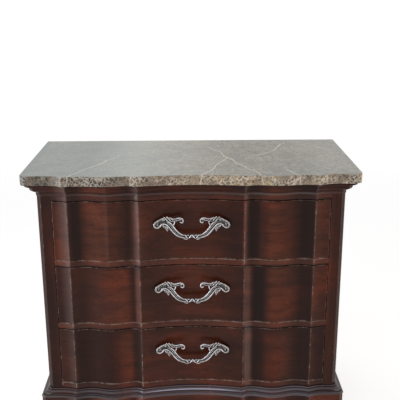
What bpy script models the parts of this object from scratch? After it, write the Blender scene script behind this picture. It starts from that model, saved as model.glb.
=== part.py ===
"""A bachelor's chest: three drawers in a shaped front, a marble top and a bracket base.

The case is modelled with the face of its stiles at Y = 0, the front towards -Y and the
floor at Z = 0. One empty then moves the whole chest so that its origin is under its middle.
"""

import math
from collections import namedtuple

import bmesh
import bpy
from mathutils import Vector

# The front seen from above, in metres from its centre line outwards: a hollow between two
# sharp arrises, then on each side a cove, a swelling, a second cove and arris, and a sweep
# that runs out to the stile.
HOLLOW_HALF_WIDTH = 0.162
INNER_COVE_WIDTH = 0.023
SWELL_WIDTH = 0.147
OUTER_COVE_WIDTH = 0.045
END_SWEEP_WIDTH = 0.0485

# How far forward of the stile faces the front line of the case lies at each of these.
CASE_HOLLOW = -0.0095
CASE_ARRIS = 0.012
CASE_VALLEY = 0.002
CASE_SWELL = 0.0155

# The case.
STILE_WIDTH = 0.043
STILE_DEPTH = 0.045
CORNER_CANT = 0.012
CASE_DEPTH = 0.437
SIDE_THICKNESS = 0.020
BACK_THICKNESS = 0.008
RAIL_DEPTH = 0.060
RAIL_HEIGHT = 0.0205
TOP_RAIL_HEIGHT = 0.016
OPENING_HEIGHT = 0.1915
DRAWER_COUNT = 3
TOP_BOARD_THICKNESS = 0.018

# The slab of marble on top. Its front line has its own reliefs, a little flatter.
MARBLE_THICKNESS = 0.030
MARBLE_OVERHANG = 0.0395
MARBLE_BACK_OVERHANG = 0.008
MARBLE_HOLLOW = 0.040
MARBLE_ARRIS = 0.0565
MARBLE_VALLEY = 0.0485
MARBLE_SWELL = 0.057
MARBLE_SPREAD = 0.005
MARBLE_EDGE_ROUND = 0.0025

# The cornice frame under the marble and the base frame over the brackets. Each moulding is
# given by how far it stands out from the case and how high each of its members is.
FRAME_WIDTH = 0.045
CORNICE_PROJECTION = 0.029
CORNICE_FILLET_HEIGHT = 0.0025
CORNICE_HOLLOW_HEIGHT = 0.0115
CORNICE_WAIST_PROJECTION = 0.0175
CORNICE_ROUND_HEIGHT = 0.013
CORNICE_ROUND_PROJECTION = 0.009
CORNICE_COVE_PROJECTION = 0.0065
CORNICE_COVE_HEIGHT = 0.009
CORNICE_LIP_PROJECTION = 0.0015
CORNICE_LIP_HEIGHT = 0.006
BASE_BEAD_HEIGHT = 0.005
BASE_BEAD_PROJECTION = 0.0045
BASE_QUIRK_PROJECTION = 0.0025
BASE_STEP_PROJECTION = 0.006
BASE_STEP_HEIGHT = 0.002
BASE_COVE_HEIGHT = 0.0065
BASE_COVE_PROJECTION = 0.015
BASE_FILLET_PROJECTION = 0.018
BASE_FILLET_HEIGHT = 0.0035
BASE_TORUS_PROJECTION = 0.020
BASE_TORUS_HEIGHT = 0.004
BASE_PROJECTION = 0.0236
BASE_FOOT_HEIGHT = 0.003

# The bracket base.
PLINTH_HEIGHT = 0.122
PLINTH_PROJECTION = 0.022
PLINTH_INNER_DEPTH = 0.016
BRACKET_FRONT_LENGTH = 0.145
BRACKET_SIDE_LENGTH = 0.125
APRON_HEIGHT = 0.038
BRACKET_FOOT_RISE = 0.020
BRACKET_SMALL_RADIUS = 0.022
BRACKET_STEP = 0.007
CORNER_BLOCK_SIZE = 0.055

# What the drawers run on.
RUNNER_WIDTH = 0.058
GUIDE_HEIGHT = 0.020
DUST_PANEL_THICKNESS = 0.006
DUST_GROOVE_DEPTH = 0.006

# The drawers.
FRONT_BACK_DEPTH = 0.028
FRONT_SIDE_GAP = 0.0015
FRONT_TOP_GAP = 0.002
FRONT_BOTTOM_GAP = 0.001
DRAWER_REAR_CLEARANCE = 0.001
DRAWER_SIDE_THICKNESS = 0.012
DRAWER_SIDE_DROP = 0.0065
DRAWER_BACK_THICKNESS = 0.012
DRAWER_BACK_DROP = 0.010
DRAWER_BOTTOM_THICKNESS = 0.008
DRAWER_BOTTOM_RISE = 0.012
BOTTOM_GROOVE_DEPTH = 0.006

# The pulls: castings held by two bolts each from inside the drawer. The stem stands clear
# of the front for the fingers and swings back on each side to the leaf heads.
PULL_BOLT_SPACING = 0.160
PULL_BOLT_RISE = 0.034
PULL_FLATNESS = 0.6
PULL_FINGER_ROOM = 0.024
PULL_HEAD_ROOM = 0.002
PULL_SWING_INSIDE = 0.035
PULL_SWING_OUTSIDE = 0.018
PULL_STEM_DROP = 0.0488
PULL_STEM_RADIUS = 0.006
PULL_COLLAR_LIFT = 0.003
PULL_WRAP_HALF_LENGTH = 0.016
PULL_WRAP_RADIUS = 0.0024
PULL_WRAP_TURNS = 1.5

# The middle lines of a pull's limbs. Each point is how far it lies outside the bolt, how
# far above it, and the limb's radius there.
PULL_STEM = (
    (-0.0532, -0.0478, 0.0058),
    (-0.0370, -0.0405, 0.0073),
    (-0.0200, -0.0220, 0.0076),
    (0.0000, -0.0045, 0.0078),
    (0.0205, -0.0065, 0.0098),
    (0.0295, -0.0225, 0.0094),
)
PULL_HOOK = (
    (0.0000, 0.0065, 0.0050),
    (-0.0140, 0.0055, 0.0050),
    (-0.0300, 0.0050, 0.0043),
    (-0.0440, 0.0075, 0.0036),
    (-0.0515, 0.0035, 0.0028),
    (-0.0510, -0.0035, 0.0021),
)
PULL_SPUR = (
    (-0.0165, 0.0030, 0.0026),
    (-0.0225, -0.0150, 0.0028),
)
PULL_LEAFLET = (
    (0.0100, -0.0080, 0.0030),
    (0.0040, -0.0170, 0.0042),
    (-0.0042, -0.0300, 0.0018),
)
PULL_COLLAR = (
    (0.0040, 0.0110, 0.0030),
    (-0.0060, 0.0050, 0.0040),
    (-0.0140, -0.0030, 0.0030),
)
BOSS_RADIUS = 0.0055
BOLT_RADIUS = 0.002
BOLT_HOLE_RADIUS = 0.0026
BOLT_HEAD_RADIUS = 0.0048
BOLT_HEAD_HEIGHT = 0.003
BOLT_THREAD_LENGTH = 0.007

# Two pieces that touch are drawn this far apart, a cutter runs this far past what it cuts,
# and two corners closer than the last of these are one.
TOUCH = 0.0003
CUT_PAST = 0.010
MERGE = 0.00001

# Sizes that follow from the ones above.
OPENING_HALF = (HOLLOW_HALF_WIDTH + INNER_COVE_WIDTH + SWELL_WIDTH
                + OUTER_COVE_WIDTH + END_SWEEP_WIDTH)
CASE_HALF = OPENING_HALF + STILE_WIDTH
SIDE_INNER = CASE_HALF - SIDE_THICKNESS
CORNICE_HEIGHT = (CORNICE_FILLET_HEIGHT + CORNICE_HOLLOW_HEIGHT + CORNICE_ROUND_HEIGHT
                  + CORNICE_COVE_HEIGHT + CORNICE_LIP_HEIGHT)
BASE_HEIGHT = (BASE_BEAD_HEIGHT + BASE_STEP_HEIGHT + BASE_COVE_HEIGHT
               + BASE_FILLET_HEIGHT + BASE_TORUS_HEIGHT + BASE_FOOT_HEIGHT)
CASE_BOTTOM = PLINTH_HEIGHT + BASE_HEIGHT
LEVEL_PITCH = OPENING_HEIGHT + RAIL_HEIGHT
CASE_TOP = CASE_BOTTOM + DRAWER_COUNT * LEVEL_PITCH + TOP_RAIL_HEIGHT
MARBLE_BOTTOM = CASE_TOP + CORNICE_HEIGHT
CASE_BACK_INNER = CASE_DEPTH - BACK_THICKNESS
DRAWER_SIDE_HEIGHT = OPENING_HEIGHT - DRAWER_SIDE_DROP
MARBLE_FRONT = max(MARBLE_HOLLOW, MARBLE_ARRIS, MARBLE_SWELL, MARBLE_OVERHANG)
MARBLE_BACK = CASE_DEPTH + MARBLE_BACK_OVERHANG
CHEST_MIDDLE_Y = (MARBLE_BACK - MARBLE_FRONT) / 2

DRAWER_INNER_HALF = OPENING_HALF - FRONT_SIDE_GAP - DRAWER_SIDE_THICKNESS
DRAWER_REAR = CASE_BACK_INNER - DRAWER_REAR_CLEARANCE
DRAWER_BOTTOM_LOW = TOUCH + DRAWER_BOTTOM_RISE
PULL_BOLT_HEIGHT = OPENING_HEIGHT / 2 + PULL_BOLT_RISE
PULL_BOLT_SIDE = PULL_BOLT_SPACING / 2

FrontLine = namedtuple("FrontLine", "hollow arris valley swell end spread")
CASE_LINE = FrontLine(CASE_HOLLOW, CASE_ARRIS, CASE_VALLEY, CASE_SWELL, 0.0, 0.0)
MARBLE_LINE = FrontLine(
    MARBLE_HOLLOW, MARBLE_ARRIS, MARBLE_VALLEY, MARBLE_SWELL, MARBLE_OVERHANG, MARBLE_SPREAD
)

# Steps along each stretch of the front line and of a moulding, round a turned piece, and
# along and round a cast one.
HOLLOW_STEPS = 5
INNER_COVE_STEPS = 3
SWELL_STEPS = 8
OUTER_COVE_STEPS = 4
END_SWEEP_STEPS = 4
BRACKET_STEPS = 4
MOULDING_STEPS = 3
SMALL_MOULDING_STEPS = 2
TURNED_STEPS = 16
CAST_STEPS = 2
CAST_ROUNDNESS = 1
WRAP_KNOTS = 9

SIDES = ((-1, "left"), (1, "right"))


def clear_scene():
    """Remove whatever the scene holds."""
    for item in list(bpy.data.objects):
        bpy.data.objects.remove(item, do_unlink=True)


def new_collection(name):
    """A collection linked to the scene."""
    collection = bpy.data.collections.new(name)
    bpy.context.scene.collection.children.link(collection)
    return collection


def principled(name, colour, roughness, metallic=0.0):
    """A plain Principled material."""
    material = bpy.data.materials.new(name)
    material.use_nodes = True
    shader = material.node_tree.nodes["Principled BSDF"]
    shader.inputs["Base Color"].default_value = (*colour, 1.0)
    shader.inputs["Roughness"].default_value = roughness
    shader.inputs["Metallic"].default_value = metallic
    return material


def new_empty(name, location, parent=None):
    """An empty that carries a group of pieces."""
    empty = bpy.data.objects.new(name, None)
    empty.location = location
    empty.parent = parent
    PARTS.objects.link(empty)
    return empty


def new_object(name, mesh, material, parent, rounded=False):
    """A named piece in the chest's collection."""
    if not mesh.materials:
        mesh.materials.append(material)
    if rounded:
        mesh.shade_smooth()
        mesh.set_sharp_from_angle(angle=math.radians(40))
    piece = bpy.data.objects.new(name, mesh)
    piece.parent = parent
    PARTS.objects.link(piece)
    return piece


def mesh_from(bm, name):
    """A mesh with its faces pointing out, from a bmesh that is then freed."""
    bmesh.ops.recalc_face_normals(bm, faces=bm.faces)
    mesh = bpy.data.meshes.new(name)
    bm.to_mesh(mesh)
    bm.free()
    return mesh


def add_box(bm, low, high):
    """A box between two corners."""
    cube = bmesh.ops.create_cube(bm, size=1.0)
    size = [b - a for a, b in zip(low, high)]
    middle = [(a + b) / 2 for a, b in zip(low, high)]
    bmesh.ops.scale(bm, verts=cube["verts"], vec=size)
    bmesh.ops.translate(bm, verts=cube["verts"], vec=middle)


def board(name, low, high, material, parent):
    """A plain board between two corners."""
    bm = bmesh.new()
    add_box(bm, low, high)
    return new_object(name, mesh_from(bm, name), material, parent)


def add_layers(bm, layers):
    """A closed solid through a list of outlines, each a list of points in the same order."""
    order = bm.verts.layers.int.verify()
    corners = [bm.verts.new(point) for point in layers[0]]
    for index, corner in enumerate(corners):
        corner[order] = index
    edges = list(bm.faces.new(corners).edges)
    for layer in layers[1:]:
        grown = bmesh.ops.extrude_edge_only(bm, edges=edges)["geom"]
        corners = [item for item in grown if isinstance(item, bmesh.types.BMVert)]
        edges = [item for item in grown if isinstance(item, bmesh.types.BMEdge)]
        edges = [edge for edge in edges if all(end in corners for end in edge.verts)]
        for corner in corners:
            corner.co = layer[corner[order]]
    bmesh.ops.contextual_create(bm, geom=edges)


def layered(name, layers, material, parent):
    """A piece made of one stack of outlines."""
    bm = bmesh.new()
    add_layers(bm, layers)
    return new_object(name, mesh_from(bm, name), material, parent)


def flat_layer(outline, height):
    """An outline seen from above, at a height."""
    return [(x, y, height) for x, y in outline]


def section_layer(outline, depth):
    """An outline seen from the front, at a depth behind the stile faces."""
    return [(x, depth, z) for x, z in outline]


def side_layer(outline, x):
    """An outline seen from the side, given as depth and height."""
    return [(x, y, z) for y, z in outline]


def add_turned(bm, profile, place, axis):
    """A solid turned about an axis through a place, from (radius, height) pairs."""
    along = Vector(axis)
    across = along.orthogonal().normalized()
    corners = [
        bm.verts.new(Vector(place) + across * radius + along * height)
        for radius, height in profile
    ]
    edges = [bm.edges.new(pair) for pair in zip(corners, corners[1:])]
    bmesh.ops.spin(
        bm, geom=corners + edges, cent=place, axis=axis,
        angle=2 * math.pi, steps=TURNED_STEPS, use_merge=True,
    )
    bmesh.ops.remove_doubles(bm, verts=bm.verts, dist=MERGE)


def cutter(name, mesh, parent):
    """A solid that is only used to cut others."""
    piece = bpy.data.objects.new(name, mesh)
    piece.parent = parent
    piece.hide_render = True
    piece.display_type = "WIRE"
    CUTTERS.objects.link(piece)
    return piece


def cut(piece, tool):
    """Take a cutter's space out of a piece."""
    modifier = piece.modifiers.new("Cut", "BOOLEAN")
    modifier.operation = "DIFFERENCE"
    modifier.object = tool


def opening_bottom(number):
    """The height that a drawer's rail and runners give it; drawer 1 is the top one."""
    return CASE_BOTTOM + RAIL_HEIGHT + (DRAWER_COUNT - number) * LEVEL_PITCH


def arris_places(line):
    """Where the front line changes from one stretch to the next, outwards from the centre."""
    inner_arris = HOLLOW_HALF_WIDTH + line.spread
    inner_valley = inner_arris + INNER_COVE_WIDTH
    outer_valley = inner_valley + SWELL_WIDTH
    outer_arris = outer_valley + OUTER_COVE_WIDTH
    return inner_arris, inner_valley, outer_valley, outer_arris


def relief(x, line):
    """How far forward of the stile faces the front line lies, x metres from the centre."""
    side = abs(x)
    inner_arris, inner_valley, outer_valley, outer_arris = arris_places(line)
    if side <= inner_arris:
        return line.hollow + (line.arris - line.hollow) * (side / inner_arris) ** 2
    if side <= inner_valley:
        share = (inner_valley - side) / INNER_COVE_WIDTH
        return line.valley + (line.arris - line.valley) * share ** 2
    if side <= outer_valley:
        turn = 2 * math.pi * (side - inner_valley) / SWELL_WIDTH
        return line.valley + (line.swell - line.valley) * (1 - math.cos(turn)) / 2
    if side <= outer_arris:
        share = (side - outer_valley) / OUTER_COVE_WIDTH
        return line.valley + (line.arris - line.valley) * share ** 2
    share = max(0.0, (OPENING_HALF - side) / (OPENING_HALF - outer_arris))
    return line.end + (line.arris - line.end) * share ** 2


# A pull's boss stands on the highest point of the front under it, and the middles of its
# stem and heads lie this far forward of the stile faces.
BOSS_FOOT = relief(PULL_BOLT_SIDE + BOSS_RADIUS, CASE_LINE) + TOUCH
PULL_END = PULL_BOLT_SIDE + max(across + radius for across, _, radius in PULL_STEM)
PULL_HEAD_RADIUS = max(radius for _, _, radius in PULL_STEM)
PULL_HEAD_FORWARD = (relief(PULL_END, CASE_LINE) + PULL_HEAD_ROOM
                     + PULL_FLATNESS * PULL_HEAD_RADIUS)
PULL_STEM_FORWARD = CASE_HOLLOW + PULL_FINGER_ROOM + PULL_FLATNESS * PULL_STEM_RADIUS


def stations(line, half_width):
    """Places along the front line, from left to right, between two ends."""
    ends = (0.0, *arris_places(line), OPENING_HALF)
    counts = (HOLLOW_STEPS, INNER_COVE_STEPS, SWELL_STEPS, OUTER_COVE_STEPS, END_SWEEP_STEPS)
    right = []
    for start, end, count in zip(ends, ends[1:], counts):
        right += [start + (end - start) * step / count for step in range(1, count + 1)]
    right = [x for x in right if x < half_width - TOUCH] + [half_width]
    return [-x for x in reversed(right)] + [0.0] + right


def front_outline(line, half_width, back):
    """A board seen from above: the front line before, a straight edge behind."""
    front = [(x, -relief(x, line)) for x in stations(line, half_width)]
    return front + [(half_width, back), (-half_width, back)]


def frame_front_outline(projection, inner_depth):
    """A mitred front member seen from above, standing out from the case by a projection."""
    outer = CASE_HALF + projection
    mitre_inner = CASE_HALF + CORNER_CANT - inner_depth
    front = [(x, -relief(x, CASE_LINE) - projection) for x in stations(CASE_LINE, OPENING_HALF)]
    corner = [
        (outer - CORNER_CANT, -projection),
        (outer, CORNER_CANT - projection),
        (mitre_inner, inner_depth),
    ]
    return [(-x, y) for x, y in reversed(corner)] + front + corner


def frame_side_outline(projection, inner_depth, side):
    """A mitred side member seen from above; side is 1 for the right and -1 for the left."""
    outer = CASE_HALF + projection
    mitre_inner = CASE_HALF + CORNER_CANT - inner_depth
    gap = TOUCH * math.sqrt(2)
    outline = [
        (mitre_inner, inner_depth + gap),
        (outer, CORNER_CANT - projection + gap),
        (outer, CASE_DEPTH),
        (mitre_inner, CASE_DEPTH),
    ]
    return [(side * x, y) for x, y in outline]


def curved(start, end, steps, level_first):
    """Points of a quarter ellipse between two (drop, projection) pairs.

    One that is level first leaves its start level and reaches its end upright.
    """
    points = []
    for step in range(1, steps + 1):
        turn = math.pi / 2 * step / steps
        early, late = math.sin(turn), 1 - math.cos(turn)
        down, out = (late, early) if level_first else (early, late)
        points.append((
            start[0] + (end[0] - start[0]) * down,
            start[1] + (end[1] - start[1]) * out,
        ))
    return points


def cornice_profile():
    """The cornice's (drop, projection) pairs from its top down."""
    hollow_top = (CORNICE_FILLET_HEIGHT, CORNICE_PROJECTION)
    waist = (hollow_top[0] + CORNICE_HOLLOW_HEIGHT, CORNICE_WAIST_PROJECTION)
    round_foot = (waist[0] + CORNICE_ROUND_HEIGHT, CORNICE_ROUND_PROJECTION)
    cove_top = (round_foot[0], CORNICE_COVE_PROJECTION)
    cove_foot = (cove_top[0] + CORNICE_COVE_HEIGHT, CORNICE_LIP_PROJECTION)
    profile = [(TOUCH, CORNICE_PROJECTION), hollow_top]
    profile += curved(hollow_top, waist, MOULDING_STEPS, level_first=True)
    profile += curved(waist, round_foot, MOULDING_STEPS, level_first=False)
    profile.append(cove_top)
    profile += curved(cove_top, cove_foot, SMALL_MOULDING_STEPS, level_first=True)
    profile.append((CORNICE_HEIGHT - TOUCH, CORNICE_LIP_PROJECTION))
    return profile


def base_profile():
    """The base moulding's (drop, projection) pairs from its top down."""
    bead_foot = (BASE_BEAD_HEIGHT, BASE_QUIRK_PROJECTION)
    bead_middle = (BASE_BEAD_HEIGHT / 2, BASE_BEAD_PROJECTION)
    step_foot = (BASE_BEAD_HEIGHT + BASE_STEP_HEIGHT, BASE_STEP_PROJECTION)
    cove_foot = (step_foot[0] + BASE_COVE_HEIGHT, BASE_COVE_PROJECTION)
    fillet_foot = (cove_foot[0] + BASE_FILLET_HEIGHT, BASE_FILLET_PROJECTION)
    torus_top = (fillet_foot[0], BASE_TORUS_PROJECTION)
    torus_foot = (torus_top[0] + BASE_TORUS_HEIGHT, BASE_PROJECTION)
    profile = [(TOUCH, BASE_QUIRK_PROJECTION)]
    profile += curved(profile[0], bead_middle, SMALL_MOULDING_STEPS, level_first=True)
    profile += curved(bead_middle, bead_foot, SMALL_MOULDING_STEPS, level_first=False)
    profile += [(BASE_BEAD_HEIGHT, BASE_STEP_PROJECTION), step_foot]
    profile += curved(step_foot, cove_foot, MOULDING_STEPS, level_first=False)
    profile += [(cove_foot[0], BASE_FILLET_PROJECTION), fillet_foot, torus_top]
    profile += curved(torus_top, torus_foot, SMALL_MOULDING_STEPS, level_first=True)
    profile.append((BASE_HEIGHT - TOUCH, BASE_PROJECTION))
    return profile


def moulded_frame(name, profile, top, chest):
    """The front and side members of a moulded frame, mitred at the canted corners."""
    front = [
        flat_layer(frame_front_outline(projection, FRAME_WIDTH), top - drop)
        for drop, projection in profile
    ]
    layered(f"{name}_front", front, MAHOGANY, chest)
    for side, word in SIDES:
        layers = [
            flat_layer(frame_side_outline(projection, FRAME_WIDTH, side), top - drop)
            for drop, projection in profile
        ]
        layered(f"{name}_{word}", layers, MAHOGANY, chest)


def frame_back(name, low, high, chest):
    """The plain rear member that closes a moulded frame."""
    half = CASE_HALF + CORNER_CANT - FRAME_WIDTH - TOUCH
    board(name, (-half, CASE_DEPTH - FRAME_WIDTH, low), (half, CASE_DEPTH, high), MAHOGANY, chest)


def build_marble(chest):
    """The slab, with its edges eased above and below."""
    half = CASE_HALF + MARBLE_OVERHANG
    front = [(x, -relief(x, MARBLE_LINE)) for x in stations(MARBLE_LINE, OPENING_HALF)]
    corner = [
        (half - CORNER_CANT, -MARBLE_OVERHANG),
        (half, CORNER_CANT - MARBLE_OVERHANG),
        (half, MARBLE_BACK),
    ]
    outline = [(-x, y) for x, y in reversed(corner)] + front + corner
    middle_y = (MARBLE_BACK - MARBLE_FRONT) / 2
    ease = MARBLE_EDGE_ROUND
    across = (half - ease) / half
    along = (MARBLE_BACK + MARBLE_FRONT - 2 * ease) / (MARBLE_BACK + MARBLE_FRONT)
    eased = [(x * across, middle_y + (y - middle_y) * along) for x, y in outline]
    top = MARBLE_BOTTOM + MARBLE_THICKNESS
    layers = [
        flat_layer(eased, MARBLE_BOTTOM),
        flat_layer(outline, MARBLE_BOTTOM + ease),
        flat_layer(outline, top - ease),
        flat_layer(eased, top),
    ]
    layered("marble_top", layers, MARBLE, chest)


def build_case(chest):
    """Stiles, sides, back and the board that closes the case above the drawers."""
    stile = [
        (OPENING_HALF, 0.0),
        (CASE_HALF - CORNER_CANT, 0.0),
        (CASE_HALF, CORNER_CANT),
        (CASE_HALF, STILE_DEPTH),
        (OPENING_HALF, STILE_DEPTH),
    ]
    panel_front = STILE_DEPTH + TOUCH
    for side, word in SIDES:
        outline = [(side * x, y) for x, y in stile]
        layers = [flat_layer(outline, CASE_BOTTOM), flat_layer(outline, CASE_TOP)]
        layered(f"stile_{word}", layers, MAHOGANY, chest)
        edges = sorted((side * SIDE_INNER, side * CASE_HALF))
        low = (edges[0], panel_front, CASE_BOTTOM)
        high = (edges[1], CASE_DEPTH, CASE_TOP)
        board(f"side_panel_{word}", low, high, MAHOGANY, chest)
    inner = SIDE_INNER - TOUCH
    low = (-inner, CASE_BACK_INNER, CASE_BOTTOM)
    board("back_panel", low, (inner, CASE_DEPTH, CASE_TOP), POPLAR, chest)
    low = (-inner, RAIL_DEPTH + TOUCH, CASE_TOP - TOP_BOARD_THICKNESS)
    high = (inner, CASE_BACK_INNER - TOUCH, CASE_TOP)
    board("top_board", low, high, POPLAR, chest)


def build_rails(chest):
    """The rails between the drawers, each with the front's shape."""
    outline = front_outline(CASE_LINE, OPENING_HALF - TOUCH, RAIL_DEPTH)
    for number in range(1, DRAWER_COUNT + 1):
        top = opening_bottom(number)
        layers = [flat_layer(outline, top - RAIL_HEIGHT), flat_layer(outline, top)]
        layered(f"rail_{number}", layers, MAHOGANY, chest)
    low = CASE_TOP - TOP_RAIL_HEIGHT
    layers = [flat_layer(outline, low), flat_layer(outline, CASE_TOP)]
    layered("top_rail", layers, MAHOGANY, chest)


def build_runners(chest):
    """Runners with their guides, and the dust panels between them."""
    front = RAIL_DEPTH + TOUCH
    back = CASE_BACK_INNER - TOUCH
    outer = SIDE_INNER - TOUCH
    inner = outer - RUNNER_WIDTH
    groove_half = DUST_PANEL_THICKNESS / 2 + TOUCH
    groove_middle = -RAIL_HEIGHT / 2
    section = [
        (inner, 0.0),
        (inner, groove_middle + groove_half),
        (inner + DUST_GROOVE_DEPTH, groove_middle + groove_half),
        (inner + DUST_GROOVE_DEPTH, groove_middle - groove_half),
        (inner, groove_middle - groove_half),
        (inner, -RAIL_HEIGHT),
        (outer, -RAIL_HEIGHT),
        (outer, GUIDE_HEIGHT),
        (OPENING_HALF, GUIDE_HEIGHT),
        (OPENING_HALF, 0.0),
    ]
    for number in range(1, DRAWER_COUNT + 1):
        rest = opening_bottom(number)
        for side, word in SIDES:
            outline = [(side * x, rest + z) for x, z in section]
            layers = [section_layer(outline, front), section_layer(outline, back)]
            layered(f"runner_{number}_{word}", layers, POPLAR, chest)
        half = inner + DUST_GROOVE_DEPTH - TOUCH
        middle = rest + groove_middle
        low = (-half, front, middle - DUST_PANEL_THICKNESS / 2)
        high = (half, back, middle + DUST_PANEL_THICKNESS / 2)
        board(f"dust_panel_{number}", low, high, PANEL_WOOD, chest)


def bracket_outline(half_gap, bottom, apron_bottom):
    """The space between two bracket feet, as points across and up."""
    small_radius = BRACKET_SMALL_RADIUS
    foot_top = BRACKET_FOOT_RISE
    shoulder = foot_top + small_radius
    shoulder_x = half_gap - small_radius - BRACKET_STEP
    large_radius = apron_bottom - shoulder
    right = [(half_gap, bottom), (half_gap, foot_top)]
    for step in range(1, BRACKET_STEPS + 1):
        turn = math.pi / 2 * step / BRACKET_STEPS
        right.append((
            half_gap - small_radius * (1 - math.cos(turn)),
            foot_top + small_radius * math.sin(turn),
        ))
    right.append((shoulder_x, shoulder))
    for step in range(1, BRACKET_STEPS + 1):
        turn = math.pi / 2 * step / BRACKET_STEPS
        right.append((
            shoulder_x - large_radius * (1 - math.cos(turn)),
            shoulder + large_radius * math.sin(turn),
        ))
    return right + [(-across, up) for across, up in reversed(right)]


def build_plinth(chest):
    """The bracket base: four shaped boards with a block in each corner."""
    apron_bottom = PLINTH_HEIGHT - APRON_HEIGHT
    outer = CASE_HALF + PLINTH_PROJECTION
    inner = CASE_HALF + CORNER_CANT - PLINTH_INNER_DEPTH
    front_gap = outer - BRACKET_FRONT_LENGTH
    side_gap = (CASE_DEPTH + PLINTH_PROJECTION) / 2 - BRACKET_SIDE_LENGTH
    side_middle = (CASE_DEPTH - PLINTH_PROJECTION) / 2

    outline = frame_front_outline(PLINTH_PROJECTION, PLINTH_INNER_DEPTH)
    layers = [flat_layer(outline, 0.0), flat_layer(outline, PLINTH_HEIGHT)]
    front = layered("plinth_front", layers, MAHOGANY, chest)
    across = bracket_outline(front_gap, -APRON_HEIGHT, apron_bottom)
    bm = bmesh.new()
    front_reach = max(CASE_LINE) + PLINTH_PROJECTION + CUT_PAST
    back_reach = PLINTH_INNER_DEPTH + CUT_PAST
    add_layers(bm, [section_layer(across, -front_reach), section_layer(across, back_reach)])
    cut(front, cutter("plinth_front_cutter", mesh_from(bm, "plinth_front_cutter"), chest))

    along = bracket_outline(side_gap, -APRON_HEIGHT, apron_bottom)
    along = [(side_middle + y, z) for y, z in along]
    bm = bmesh.new()
    reach = outer + CUT_PAST
    add_layers(bm, [side_layer(along, -reach), side_layer(along, reach)])
    side_tool = cutter("plinth_side_cutter", mesh_from(bm, "plinth_side_cutter"), chest)
    for side, word in SIDES:
        outline = frame_side_outline(PLINTH_PROJECTION, PLINTH_INNER_DEPTH, side)
        layers = [flat_layer(outline, 0.0), flat_layer(outline, PLINTH_HEIGHT)]
        cut(layered(f"plinth_{word}", layers, MAHOGANY, chest), side_tool)

    half = inner - TOUCH
    back_front = CASE_DEPTH - SIDE_THICKNESS
    outline = [(-half, 0.0), (-half, PLINTH_HEIGHT), (half, PLINTH_HEIGHT), (half, 0.0)]
    outline += bracket_outline(front_gap, 0.0, apron_bottom)
    layers = [section_layer(outline, back_front), section_layer(outline, CASE_DEPTH)]
    layered("plinth_back", layers, POPLAR, chest)

    for side, word in SIDES:
        edges = sorted((side * half, side * (half - CORNER_BLOCK_SIZE)))
        places = (
            ("front", PLINTH_INNER_DEPTH + TOUCH),
            ("back", back_front - TOUCH - CORNER_BLOCK_SIZE),
        )
        for place, start in places:
            low = (edges[0], start, 0.0)
            high = (edges[1], start + CORNER_BLOCK_SIZE, PLINTH_HEIGHT)
            board(f"corner_block_{place}_{word}", low, high, POPLAR, chest)


def drawer_cutter_mesh():
    """The groove for the bottom and the two bolt holes in a drawer's front."""
    groove_half = DRAWER_INNER_HALF + BOTTOM_GROOVE_DEPTH
    low = (
        -groove_half,
        FRONT_BACK_DEPTH - BOTTOM_GROOVE_DEPTH,
        DRAWER_BOTTOM_LOW - TOUCH,
    )
    high = (
        groove_half,
        FRONT_BACK_DEPTH + BOTTOM_GROOVE_DEPTH,
        DRAWER_BOTTOM_LOW + DRAWER_BOTTOM_THICKNESS + TOUCH,
    )
    bm = bmesh.new()
    add_box(bm, low, high)
    start = -max(CASE_LINE) - CUT_PAST
    end = FRONT_BACK_DEPTH + CUT_PAST
    profile = [(0.0, start), (BOLT_HOLE_RADIUS, start), (BOLT_HOLE_RADIUS, end), (0.0, end)]
    for side, _ in SIDES:
        place = (side * PULL_BOLT_SIDE, 0.0, PULL_BOLT_HEIGHT)
        add_turned(bm, profile, place, (0.0, 1.0, 0.0))
    return mesh_from(bm, "drawer_front_cutter")


def drawer_side_mesh(side):
    """A drawer side with its groove for the bottom."""
    outer = OPENING_HALF - FRONT_SIDE_GAP
    inner = outer - DRAWER_SIDE_THICKNESS
    groove = inner + BOTTOM_GROOVE_DEPTH
    groove_low = DRAWER_BOTTOM_LOW - TOUCH
    groove_high = DRAWER_BOTTOM_LOW + DRAWER_BOTTOM_THICKNESS + TOUCH
    top = TOUCH + DRAWER_SIDE_HEIGHT
    outline = [
        (inner, TOUCH), (outer, TOUCH), (outer, top), (inner, top),
        (inner, groove_high), (groove, groove_high), (groove, groove_low), (inner, groove_low),
    ]
    outline = [(side * x, z) for x, z in outline]
    start = FRONT_BACK_DEPTH + TOUCH
    bm = bmesh.new()
    layers = [section_layer(outline, start), section_layer(outline, DRAWER_REAR)]
    add_layers(bm, layers)
    return mesh_from(bm, "drawer_side")


def pull_forward(x):
    """How far forward of the stile faces the middle of a pull lies, x from its centre."""
    past_start = abs(x) - PULL_BOLT_SIDE + PULL_SWING_INSIDE
    share = past_start / (PULL_SWING_INSIDE + PULL_SWING_OUTSIDE)
    share = min(1.0, max(0.0, share))
    swing = (1 - math.cos(math.pi * share)) / 2
    return PULL_STEM_FORWARD + (PULL_HEAD_FORWARD - PULL_STEM_FORWARD) * swing


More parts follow.
